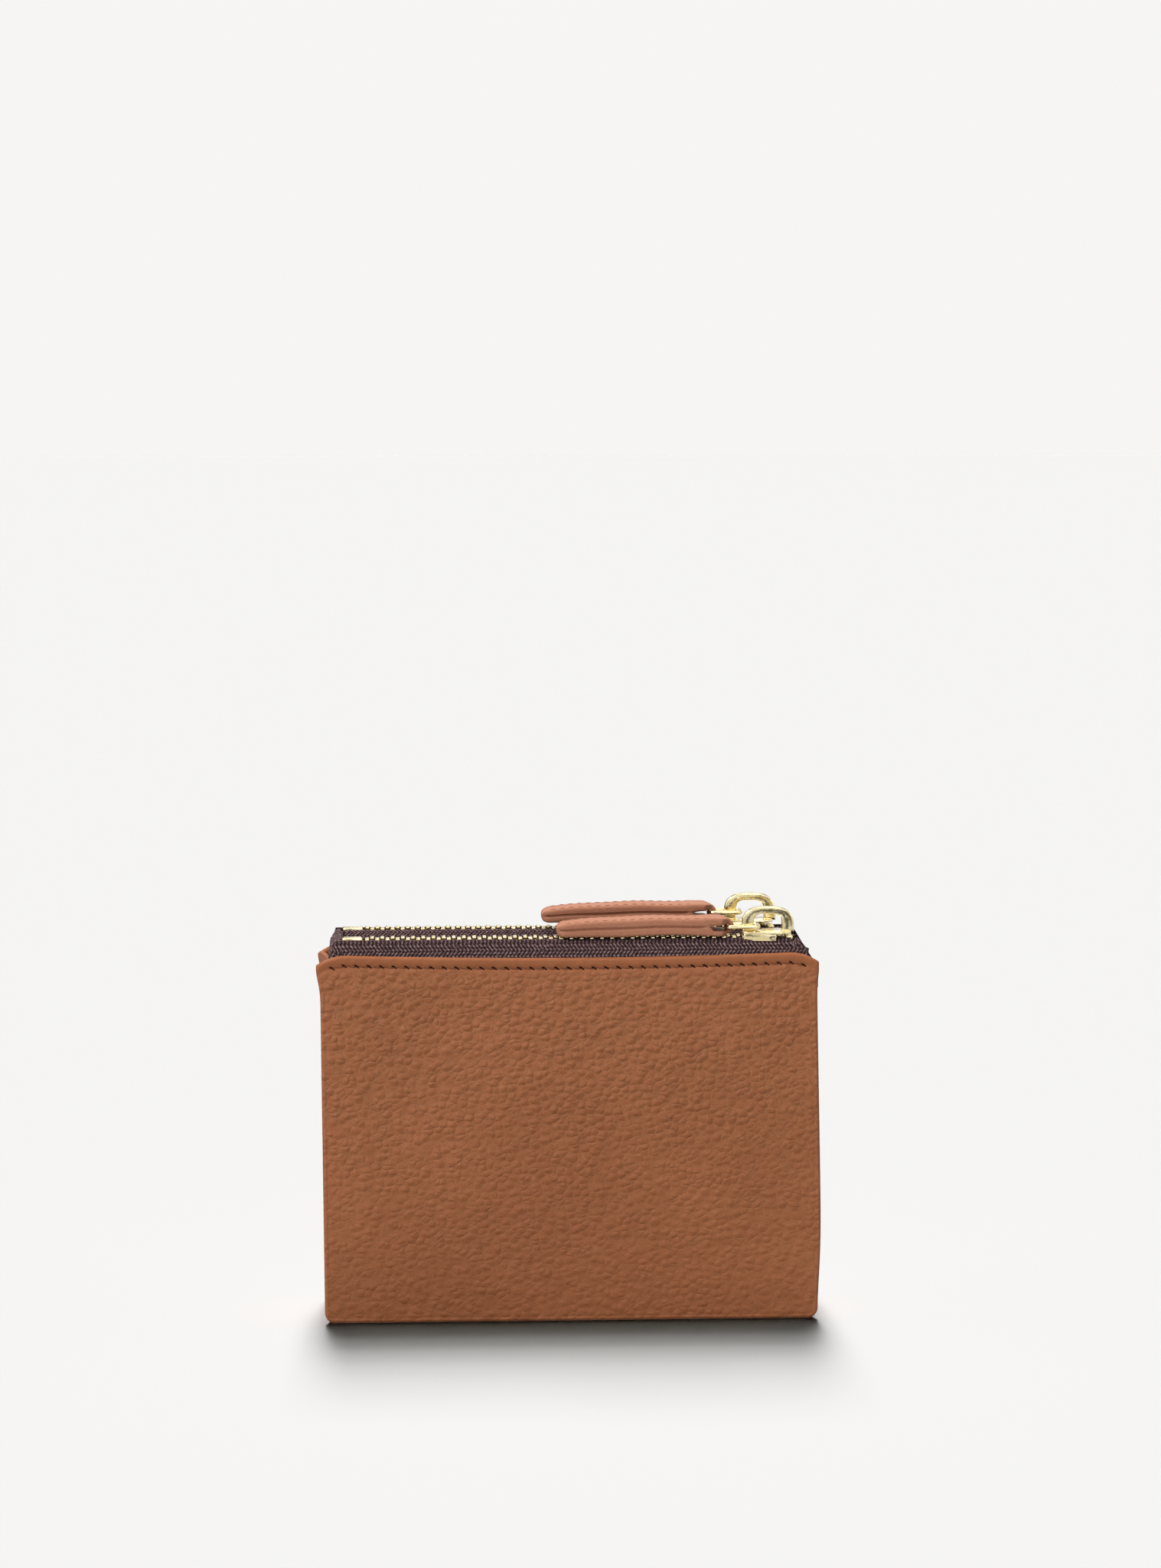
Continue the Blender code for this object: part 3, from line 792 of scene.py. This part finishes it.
def lining(side, sign):
    """The fabric bag of one compartment, in three pieces: its outer half, the rest attached to the core,
    and its right end.
    """
    node = f"{side}_lining"
    (x0, _, z0), (x1, _, z1) = box_of(node)
    near, far = distances(node, 1)
    thin = 0.4 * MM
    outer, fixed, end = Builder(), Builder(), Builder()
    for depth, flip in ((far, False), (far - thin, True)):
        outer.sheet(plate_grid((x0, x1), sign * depth, (z0, z1), 70, 24, UNEVEN), flip=flip)
    for depth, flip in ((near, True), (near + thin, False)):
        fixed.sheet(plate_grid((x0, x1), sign * depth, (z0, z1), 30, 12), flip=flip)
    floor_y, floor_x = np.meshgrid(np.linspace(sign * near, sign * far, 6), np.linspace(x0, x1, 20))
    for level in (z0, z0 + thin):
        fixed.sheet(np.stack([floor_x, floor_y, np.full_like(floor_x, level)], axis=2))
    side_y, side_z = np.meshgrid(np.linspace(sign * near, sign * far, 10), np.linspace(z0, z1, 24))
    for shift in (0, thin):
        fixed.sheet(np.stack([np.full_like(side_y, x0 + shift), side_y, side_z], axis=2))
        end.sheet(np.stack([np.full_like(side_y, x1 - shift), side_y, side_z], axis=2))

    names = {"outer": outer, "fixed": fixed, "end": end}
    pieces = [part.piece(f"{side}_lining_{name}", LINING_BUILT) for name, part in names.items()]
    for obj in pieces:
        stand_for(node)
    bend_with_wall(pieces[0])
    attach(pieces[1], "core")
    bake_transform(pieces[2])


def soft_panel(node):
    """A thin fabric panel standing where its CAD plate does, with a rounded top edge."""
    low, high = box_of(node)
    half = (high[1] - low[1]) / 2
    section = rounded_box_ring(half, (high[2] - low[2]) / 2, half * 0.9)
    rings = []
    for x in np.linspace(low[0], high[0], 60):
        y = low[1] + half + 0.1 * half * math.sin(x / (7 * MM))
        z = (low[2] + high[2]) / 2
        rings.append(placed(section, (x, y, z), (0, 1, 0), (0, 0, 1)))
    obj = tube_piece(f"{node}_cloth", rings, LINING_BUILT)
    stand_for(node)
    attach(obj, "core")


def inside():
    for side, sign in SIDES.items():
        stiffener(side)
        lining(side, sign)
    for node in ("centre_divider", "front_slip_pocket"):
        soft_panel(node)
    for level in ("upper", "middle", "lower"):
        soft_panel(f"card_slot_{level}")
    board = frame["nodes"]["base_board"]
    board.data.materials.clear()
    board.data.materials.append(pasteboard("base_board_paper", cad=True))


# Zips


def gold_piece(builder, node):
    obj = builder.piece(f"{node}_metal", GOLD)
    stand_for(node)
    return obj


def zip_centre(side):
    low, high = box_of(f"{side}_bottom_stop")
    return (low[1] + high[1]) / 2, (low[2] + high[2]) / 2


def follow(obj, half):
    if half == "outer":
        bend_with_wall(obj)
    else:
        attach(obj, "core")


def tape_section(side, sign, half):
    """The tape across the zip: from the teeth's cord over its shoulder and down to its seam."""
    foot = box_of(f"{side}_{half}_tape")[0][2]
    near, far = distances(f"{side}_{half}_tape", 1)
    centre_y, chain = zip_centre(side)
    sewn = far - TAPE_THICKNESS / 2 if half == "outer" else near + TAPE_THICKNESS / 2
    fall = (4.3 if half == "outer" else 3.6) * MM
    step = HALVES[half] * sign
    points = [
        (centre_y + step * 1.75 * MM, chain - 0.05 * MM),
        (centre_y + step * 2.6 * MM, chain - 0.2 * MM),
        (centre_y + step * 3.2 * MM, chain - 1.1 * MM),
        (sign * sewn - step * 0.35 * MM, chain - fall + 0.9 * MM),
        (sign * sewn, chain - fall - 0.6 * MM),
        (sign * sewn, (chain + foot) / 2 - 2 * MM),
        (sign * sewn, foot),
    ]
    return smooth_line(points, 4)


def sink_tail(line, x, tail_start, end):
    """Lowers the outer tape's right end and draws it back to its seam, behind a crease across it."""
    chain, sewn = line[0][1], line[-1][0]
    tail = ease(x, tail_start - 0.6 * MM, end)
    target = box_of("right_gusset")[1][2] + 0.8 * MM - 1.1 * MM * tail
    line[:, 1] -= tail * np.clip(line[:, 1] - target, 0, None)
    line[:, 0] += tail * (sewn - line[:, 0]) * 0.8
    crease = 1.0 * MM * hump(x - tail_start + 0.9 * MM, 0.4 * MM)
    line[:, 1] -= crease * ease(line[:, 1], chain - 5 * MM, chain - 1 * MM)


def tape(side, sign, half):
    """One tape of a zip; the outer one reaches further at both ends and slants at its left end."""
    outward = half == "outer"
    node = f"{side}_{half}_tape"
    low, high = box_of(node)
    section = tape_section(side, sign, half)
    chain = section[0][1]
    tail_start = box_of(f"{side}_inner_tape")[1][0]
    start = low[0] - 0.4 * MM * outward
    end = high[0] + 1.2 * MM * outward
    rings = []
    even = np.linspace(start, tail_start - 3 * MM, 140)
    for x in np.concatenate([even, np.linspace(tail_start - 2.8 * MM, end, 40)]):
        line = section.copy()
        ripple = 0.12 * MM * math.sin(x / (2.1 * MM)) * math.sin(x / (9 * MM) + 1)
        line[:, 1] += ripple * ease(chain - line[:, 1], 0.8 * MM, 2.5 * MM)
        if outward:
            sink_tail(line, x, tail_start, end)
        ring = thick_outline(line, TAPE_THICKNESS)
        rise = ease(ring[:, 1], chain - 4.5 * MM, chain)
        slanted = x + outward * END_SLANT * rise * math.exp((start - x) / (4 * MM))
        rings.append(np.stack([slanted, ring[:, 0], ring[:, 1]], axis=1))
    obj = tube_piece(f"{node}_cloth", rings, ZIP_TAPE)
    stand_for(node)
    follow(obj, half)


def tooth_shape():
    """One clamped metal tooth pointing along -Y from its clamp: wide jaws, waist and blunt head."""
    half = [(0.44, 2.25), (0.48, 1.7), (0.34, 1.15), (0.32, 0.6), (0.44, 0.2), (0.38, -0.25)]
    outline = half + [(-x, y) for x, y in half[::-1]]
    return slab([(x * MM, y * MM) for x, y in outline], -0.5 * MM, 0.5 * MM, 0.17 * MM)


def teeth(side, sign, half):
    node = f"{side}_{half}_teeth"
    low, high = box_of(node)
    centre_y, chain = zip_centre(side)
    vertices, faces = tooth_shape()
    base_shape = np.array(vertices)
    row = Builder()
    offset = (0.25 if half == "outer" else 0.75) * TOOTH_PITCH
    count = int((high[0] - low[0] - offset) / TOOTH_PITCH) + 1
    for number in range(count):
        middle = box_of(f"{side}_inner_teeth")[0][0] + offset + number * TOOTH_PITCH
        if middle > high[0]:
            break
        tooth = base_shape.copy()
        tooth[:, 0] += middle
        tooth[:, 1] = centre_y + HALVES[half] * sign * base_shape[:, 1]
        tooth[:, 2] += chain
        row.add(tooth, faces)
    follow(gold_piece(row, node), half)


def clamp(node, rounding, body, narrower=0.0):
    """A small metal bar with rounded edges in the place of a stop."""
    low, high = box_of(node)
    inset = narrower * (high[1] - low[1]) / 2
    bar = Builder()
    outline = rectangle((low[0], high[0]), (low[1] + inset, high[1] - inset))
    bar.add(*slab(outline, low[2], high[2], rounding))
    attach(gold_piece(bar, node), body)


def left_fold():
    """The zips' cloth folded over into one bulky roll at the left end."""
    centre_y, chain = zip_centre("rear")
    right = box_of("front_bottom_stop")[0][0] + 0.3 * MM
    left = box_of("front_outer_tape")[0][0] - 0.7 * MM
    middle, half = (left + right) / 2, (right - left) / 2
    reach = centre_y + 4.1 * MM
    rings = []
    for y in np.linspace(-reach, reach, 110):
        edge = np.clip((abs(y) - (reach - 3 * MM)) / (3 * MM), 0, 1)
        size = math.sqrt(1 - 0.75 * edge**2)
        lump = 0.3 * MM * math.cos(y / (1.9 * MM)) + 0.2 * MM * math.sin(y / (0.9 * MM) + 1)
        top = chain + 0.1 * MM + 0.6 * lump - 3.2 * MM * edge**2
        bottom = chain - 8 * MM
        height = (top - bottom) / 2
        ring = rounded_box_ring(half * size, height, half * 0.85 * size, 10)
        ring[:, 0] += 0.22 * MM * np.sin(ring[:, 1] / (0.8 * MM) + y / (1.4 * MM)) * size
        sunk = hump(ring[:, 0] - 0.5 * half * math.sin(y / (4 * MM)), 0.35 * MM)
        ring[:, 1] -= 0.35 * MM * sunk * (ring[:, 1] > 0)
        lean_in = 0.4 * ease(ring[:, 1], height - 2.8 * MM, height)
        ring[:, 0] += lean_in * (half - ring[:, 0])
        rings.append(placed(ring, (middle, y, (top + bottom) / 2), (1, 0, 0), (0, 0, 1)))
    obj = tube_piece("zip_cloth_left_fold", rings, ZIP_TAPE)
    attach(obj, "core")


def slider_flange(start, half, centre_y, direction):
    """The outline of the curved strip down one side of the slider; direction is its side in Y."""
    waist = [(start + 0.2 * MM, SLIDER_WAIST - 0.1 * MM), (start + 3 * MM, half * 0.9)]
    edge = smooth_line([*waist, (start + 6 * MM, half * 0.985), (start + 7.7 * MM, half * 0.985)], 5)
    inner = [(x, centre_y + direction * (y - FLANGE_THICKNESS)) for x, y in edge]
    ring = [(x, centre_y + direction * y) for x, y in edge] + inner[::-1]
    return ring if direction < 0 else ring[::-1]


def slider(side):
    """Upper plate with a rounded nose, a curved flange down each side, the lower plate and the neck."""
    node = f"{side}_slider_body"
    low, high = box_of(node)
    centre_y = zip_centre(side)[0]
    start, end, half = low[0], high[0], (high[1] - low[1]) / 2
    plate_z = high[2] - SLIDER_PLATE
    inside_plate = plate_z + 0.3 * MM

    nose = [(start, SLIDER_WAIST * 0.8), (start + 0.8 * MM, SLIDER_WAIST)]
    shoulder = [(start + 4 * MM, half * 0.93), (start + 7.5 * MM, half), (start + 9.6 * MM, half * 0.8)]
    upper = smooth_line([*nose, *shoulder, (end, half * 0.35)], 4)
    outline = [(x, centre_y + y) for x, y in upper] + [(x, centre_y - y) for x, y in upper[::-1]]
    body = Builder()
    body.add(*slab(outline[::-1], plate_z, high[2], 0.22 * MM))
    for direction in (-1, 1):
        flange = slider_flange(start, half, centre_y, direction)
        body.add(*slab(flange, low[2] + 1.2 * MM, inside_plate, 0.2 * MM))
    lower = rectangle((start + 0.5 * MM, end - 0.5 * MM), (centre_y - 1.6 * MM, centre_y + 1.6 * MM))
    body.add(*slab(lower, low[2], low[2] + 0.6 * MM, 0.2 * MM))
    neck = rectangle((start + 8.2 * MM, start + 9.8 * MM), (centre_y - 0.5 * MM, centre_y + 0.5 * MM))
    body.add(*slab(neck, low[2] + 0.3 * MM, inside_plate, 0.1 * MM))
    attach(gold_piece(body, node), f"{side}_slider")


def bail(side):
    """The arch along the slider: a flat band, broad at its two feet and narrower over the top."""
    node = f"{side}_bail"
    low, high = box_of(node)
    centre = (low + high) / 2
    half_length, rise = (high[0] - low[0]) / 2, high[2] - low[2]
    rings = []
    for angle in np.linspace(math.pi, 0, 49):
        across, up = math.cos(angle), math.sin(angle)
        outer = squared(across, up, 0.68) * (half_length, rise)
        inner = squared(across, up, 0.5) * (half_length - BAIL_SIDE_BAND, rise - BAIL_TOP_BAND)
        band = outer - inner
        ring = rounded_box_ring(np.linalg.norm(band) / 2, BAIL_HALF_WIDTH, 0.3 * MM, 5)
        x, z = np.array([centre[0], low[2]]) + (outer + inner) / 2
        out = band / np.linalg.norm(band)
        rings.append(placed(ring, (x, centre[1], z), (out[0], 0, out[1]), (0, 1, 0)))
    feet = [end - np.array([0, 0, 0.5 * MM]) for end in (rings[0], rings[-1])]
    arch = Builder()
    arch.tube([feet[0], *rings, feet[1]])
    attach(gold_piece(arch, node), f"{side}_slider")


def squared(across, up, power):
    """A point of a circle pushed out towards the corners of its square; power 1 leaves it there."""
    return np.array([math.copysign(abs(across) ** power, across), abs(up) ** power])


def link(side):
    """A long wire link with round corners between the bail and the pull."""
    node = f"{side}_link"
    at_bail = joint_place(f"{side}_link_swing")
    at_pull = joint_place(f"{side}_pull_swing")
    length = np.linalg.norm(at_bail - at_pull)
    half_width = (box_of(node)[1][1] - box_of(node)[0][1]) / 2 - WIRE
    along, across = (at_bail - at_pull) / length, np.array([0, 1, 0])
    up = np.cross(along, across)
    path = rounded_box_ring(length / 2, half_width, LINK_CORNER, 6)
    ring = circle(WIRE, 12)
    rings = []
    for (u, v), normal in zip(path, normals_of(path, closed=True)):
        centre = (at_bail + at_pull) / 2 + u * along + v * across
        rings.append(placed(ring, centre, normal[0] * along + normal[1] * across, up))
    wire = Builder()
    wire.tube(rings, closed=True)
    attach(gold_piece(wire, node), f"{side}_link")


def pull_profile():
    """The pull's upper and lower face in a section along its length, from the link's bar."""
    upper = [(-38, 0.95), (-29, 1.85), (-19, 2.25), (-11, 2.15), (-4.3, 2.35), (-2.2, 2.3)]
    lower = [(-38, -1.85), (-29, -1.85), (-19, -1.7), (-11, -1.55), (-5, -1.7), (-2.2, -1.7)]
    faces = ((0.2, upper), (-1.2, lower))
    return [smooth_line([(PULL_TIP / MM, tip), *points], 6) * MM for tip, points in faces]


def pull_layer(layer):
    """One of the two layers of leather that are pressed into a strip; layer is 1 on top, else -1."""
    upper, lower = pull_profile()
    rings = []
    for x in np.linspace(PULL_TIP, PULL_NECK, 90):
        top = np.interp(x, upper[:, 0], upper[:, 1])
        bottom = np.interp(x, lower[:, 0], lower[:, 1])
        tip = ease(x, -39.3 * MM, -37.4 * MM)
        split = ease(x, -4.2 * MM, -3.2 * MM)
        gap = 0.5 * MM * split - 0.12 * MM * (1 - split)
        inner, outer = (top + bottom) / 2 + layer * gap, (top if layer > 0 else bottom)
        height = abs(outer - inner) / 2 * (0.35 + 0.65 * math.sqrt(tip))
        width = PULL_HALF_WIDTH * (0.6 + 0.4 * math.sqrt(tip))
        ring = rounded_box_ring(height, width, min(height, width) * 0.55)
        rings.append(placed(ring, (x, 0, (outer + inner) / 2), (0, 0, 1), (0, 1, 0)))
    return rings


def pull_loop():
    """The narrow end of the strip that passes round the link; its points give X, Z and half thickness."""
    over = [(-5.5, 1.35, 0.98), (-3.4, 1.38, 0.95), (-1.8, 1.45, 0.85), (-0.5, 1.4, 0.75), (0.6, 1.1, 0.6)]
    round_bar = [(1.2, 0.5, 0.5), (1.25, -0.1, 0.45), (0.85, -0.85, 0.42)]
    under = [(-0.3, -1.2, 0.48), (-1.8, -1.25, 0.55), (-3.4, -1.15, 0.6), (-5.5, -0.9, 0.8)]
    loop = smooth_line([*over, *round_bar, *under], 5) * MM
    rings = []
    for (x, z, thick), normal in zip(loop, normals_of(loop[:, :2])):
        half = 1.1 * MM + 2.6 * MM * ease(-x, -0.6 * MM, 1.2 * MM)
        ring = rounded_box_ring(thick, half, thick * 0.55, 5)
        rings.append(placed(ring, (x, 0, z), (normal[0], 0, normal[1]), (0, 1, 0)))
    return rings


def pull_solid(at_pull):
    solid = Builder()
    for rings in (pull_layer(1), pull_layer(-1), pull_loop()):
        solid.tube(rings)
    solid.vertices = (np.array(solid.vertices) + at_pull).tolist()
    return solid


def groove_pull(obj, at_pull):
    """Presses the line where the two layers meet into the pull's sides, and rumples it a little."""
    points = vertex_places(obj.data).astype(float)
    local = points - at_pull
    upper, lower = pull_profile()
    middle = (np.interp(local[:, 0], *upper.T) + np.interp(local[:, 0], *lower.T)) / 2
    near_side = ease(np.abs(local[:, 1]), 2.9 * MM, 3.6 * MM)
    groove = hump(local[:, 2] - middle, 0.22 * MM) * near_side
    body = 1 - ease(local[:, 0], -6 * MM, -4.5 * MM)
    points[:, 1] -= np.sign(local[:, 1]) * 0.5 * MM * groove * body
    points[:, 2] += RUMPLE_DEPTH * np.sin(local[:, 0] / RUMPLE_LENGTH) * body
    obj.data.vertices.foreach_set("co", points.astype(np.float32).ravel())
    obj.data.update()


def apply_modifiers(obj):
    bpy.context.view_layer.update()
    evaluated = obj.evaluated_get(bpy.context.evaluated_depsgraph_get())
    mesh = bpy.data.meshes.new_from_object(evaluated)
    obj.modifiers.clear()
    obj.data = mesh


def pull(side):
    node = f"{side}_pull"
    at_pull = joint_place(f"{side}_pull_swing")
    obj = pull_solid(at_pull).piece(f"{node}_leather", PULL_LEATHER)
    fuse = obj.modifiers.new("fuse", "REMESH")
    fuse.mode = "VOXEL"
    fuse.voxel_size = PULL_VOXEL
    relax = obj.modifiers.new("relax", "SMOOTH")
    relax.factor = 0.5
    relax.iterations = 4
    apply_modifiers(obj)
    groove_pull(obj, at_pull)
    obj.data.shade_smooth()
    remember_place(obj.data)
    stand_for(node)
    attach(obj, f"{side}_pull")
    pull_stitches(side, at_pull)


def pull_stitches(side, at_pull):
    """Small stitches along both long edges of the pull's upper face."""
    upper = pull_profile()[0]
    row = Builder()
    ring = circle(0.13 * MM, 6)
    for direction in (-1, 1):
        for start in np.arange(-37.2, -5.5, 2.1) * MM:
            rings = []
            for share in np.linspace(0, 1, 6):
                x = start + 1.6 * MM * share
                z = np.interp(x, *upper.T) - 0.12 * MM + 0.13 * MM * math.sin(math.pi * share)
                z += RUMPLE_DEPTH * math.sin(x / RUMPLE_LENGTH)
                centre = at_pull + np.array([x, direction * 2.75 * MM, z])
                rings.append(placed(ring, centre, (0, 1, 0), (0, 0, 1)))
            row.tube(rings)
    obj = row.piece(f"{side}_pull_stitches", PULL_THREAD)
    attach(obj, f"{side}_pull")


def zips():
    left_fold()
    for side, sign in SIDES.items():
        for half in HALVES:
            tape(side, sign, half)
            teeth(side, sign, half)
        clamp(f"{side}_bottom_stop", 0.38 * MM, "core", narrower=0.25)
        clamp(f"{side}_outer_top_stop", 0.25 * MM, f"{side}_wall")
        clamp(f"{side}_inner_top_stop", 0.25 * MM, "core")
        slider(side)
        bail(side)
        link(side)
        pull(side)


# Studio


def floor():
    mesh = bpy.data.meshes.new("floor")
    reach = (-FLOOR_REACH, FLOOR_REACH)
    mesh.from_pydata([(x, y, 0) for x, y in rectangle(reach, reach)], [], [(0, 1, 2, 3)])
    plane = bpy.data.objects.new("floor", mesh)
    plane.location.z = -0.02 * MM
    bpy.context.scene.collection.objects.link(plane)
    pale = (0.80, 0.795, 0.785, 1)
    paper = new_material("floor_paper", Base_Color=pale, Roughness=1.0, Specular_IOR_Level=0.0)[0]
    mesh.materials.append(paper)
    plane.visible_glossy = False
    return plane


def sun(name, azimuth, elevation, angle, strength, skips=None, glints=False):
    """A soft sun; azimuth 0 shines from the front and 90 from the right, both in degrees.

    skips is an object it doesn't light, and glints tells whether its own disc shows in shiny things.
    """
    lamp = bpy.data.lights.new(name, "SUN")
    lamp.energy = strength
    lamp.angle = math.radians(angle)
    obj = bpy.data.objects.new(name, lamp)
    a, e = math.radians(azimuth), math.radians(elevation)
    toward = Vector((math.sin(a) * math.cos(e), -math.cos(a) * math.cos(e), math.sin(e)))
    obj.rotation_euler = toward.to_track_quat("Z", "Y").to_euler()
    obj.visible_glossy = glints
    bpy.context.scene.collection.objects.link(obj)
    if skips is not None:
        unlit = bpy.data.collections.new(f"{name}_skips")
        unlit.objects.link(skips)
        unlit.collection_objects[0].light_linking.link_state = "EXCLUDE"
        obj.light_linking.receiver_collection = unlit


def studio_world():
    """The backdrop the camera sees, and a soft room with dark gaps for the metal to mirror."""
    world = bpy.data.worlds.new("studio")
    bpy.context.scene.world = world
    world.use_nodes = True
    tree = world.node_tree
    tree.nodes.clear()
    seen = add_node(tree, "Background", {"Color": linear(246, 245, 243), "Strength": 1.0})
    direction = add_node(tree, "TexCoord").outputs["Generated"]
    height = add_node(tree, "SeparateXYZ", {"Vector": direction}).outputs["Z"]
    band = ramp(height, -0.1, 0.4, 0.85, 1.7)
    patches = ramp(noise(direction, 3.2, 1.0), 0.4, 0.49, 0.07, 1.0)
    light = {"Color": linear(255, 252, 247), "Strength": times(band, patches)}
    room = add_node(tree, "Background", light)
    path = add_node(tree, "LightPath").outputs["Is Camera Ray"]
    both = add_node(tree, "MixShader", {0: path, 1: room.outputs[0], 2: seen.outputs[0]})
    output = add_node(tree, "OutputWorld")
    tree.links.new(both.outputs[0], output.inputs["Surface"])
    world.cycles_visibility.diffuse = False


def camera():
    lens = bpy.data.cameras.new("camera")
    lens.lens = CAMERA_LENS
    lens.sensor_width = 36
    lens.clip_start = 0.01
    lens.clip_end = 50
    obj = bpy.data.objects.new("camera", lens)
    obj.location = CAMERA_PLACE
    obj.rotation_euler = [math.radians(angle) for angle in CAMERA_TURN]
    bpy.context.scene.collection.objects.link(obj)
    bpy.context.scene.camera = obj


def studio():
    camera()
    ground = floor()
    studio_world()
    for back, share in ((4, 0.09), (11, 0.23), (18, 0.26), (25, 0.18), (32, 0.13), (39, 0.11)):
        sun(f"key_{back}", azimuth=180, elevation=90 - back, angle=11, strength=KEY_STRENGTH * share)
    sun("raking_light", azimuth=-52, elevation=46, angle=14, strength=2.7, skips=ground, glints=True)
    sun("front_fill", azimuth=-8, elevation=14, angle=60, strength=1.6, skips=ground)
    sun("back_fill", azimuth=160, elevation=20, angle=60, strength=1.2, skips=ground)
    view = bpy.context.scene.view_settings
    view.view_transform = "Standard"
    view.look = "None"


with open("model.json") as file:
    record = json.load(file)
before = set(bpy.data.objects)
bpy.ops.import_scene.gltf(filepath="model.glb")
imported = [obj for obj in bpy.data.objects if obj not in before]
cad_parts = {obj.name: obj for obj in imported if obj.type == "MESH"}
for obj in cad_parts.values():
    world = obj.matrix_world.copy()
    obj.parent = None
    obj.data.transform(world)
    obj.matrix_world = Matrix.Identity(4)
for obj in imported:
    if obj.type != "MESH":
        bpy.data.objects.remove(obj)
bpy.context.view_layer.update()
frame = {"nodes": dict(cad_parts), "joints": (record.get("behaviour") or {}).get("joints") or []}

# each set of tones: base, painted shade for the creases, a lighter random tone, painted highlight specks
LEATHER_TONES = (linear(129, 73, 37), linear(82, 43, 21), linear(136, 78, 42), linear(168, 112, 72))
OUTER_LEATHER = leather("outer_leather_pebbled", *LEATHER_TONES, pebble=1.75, depth=0.29 * MM)
PULL_TONES = (linear(141, 89, 63), linear(106, 64, 43), linear(148, 96, 71), linear(162, 112, 87))
PULL_LEATHER = leather("pull_leather_fine", *PULL_TONES, pebble=0.5, depth=0.04 * MM)
SEAM_THREAD = thread("seam_thread_brown", linear(124, 72, 42), linear(92, 50, 28))
SEAM_HOLE_SHADE = stitch_hole_shade("seam_hole_painted_shade")
PULL_THREAD = thread("pull_thread_brown", linear(136, 88, 64), linear(108, 64, 44))
ZIP_TAPE = woven_tape("zip_tape_woven")
LINING_BUILT = lining_cloth("lining_woven")
BOARD_BUILT = pasteboard("board_paper")
GOLD = gold("pale_gold_plated")

base()
gussets()
for side, sign in SIDES.items():
    leather_wall(side, sign)
    seam(side, sign)
inside()
zips()
studio()
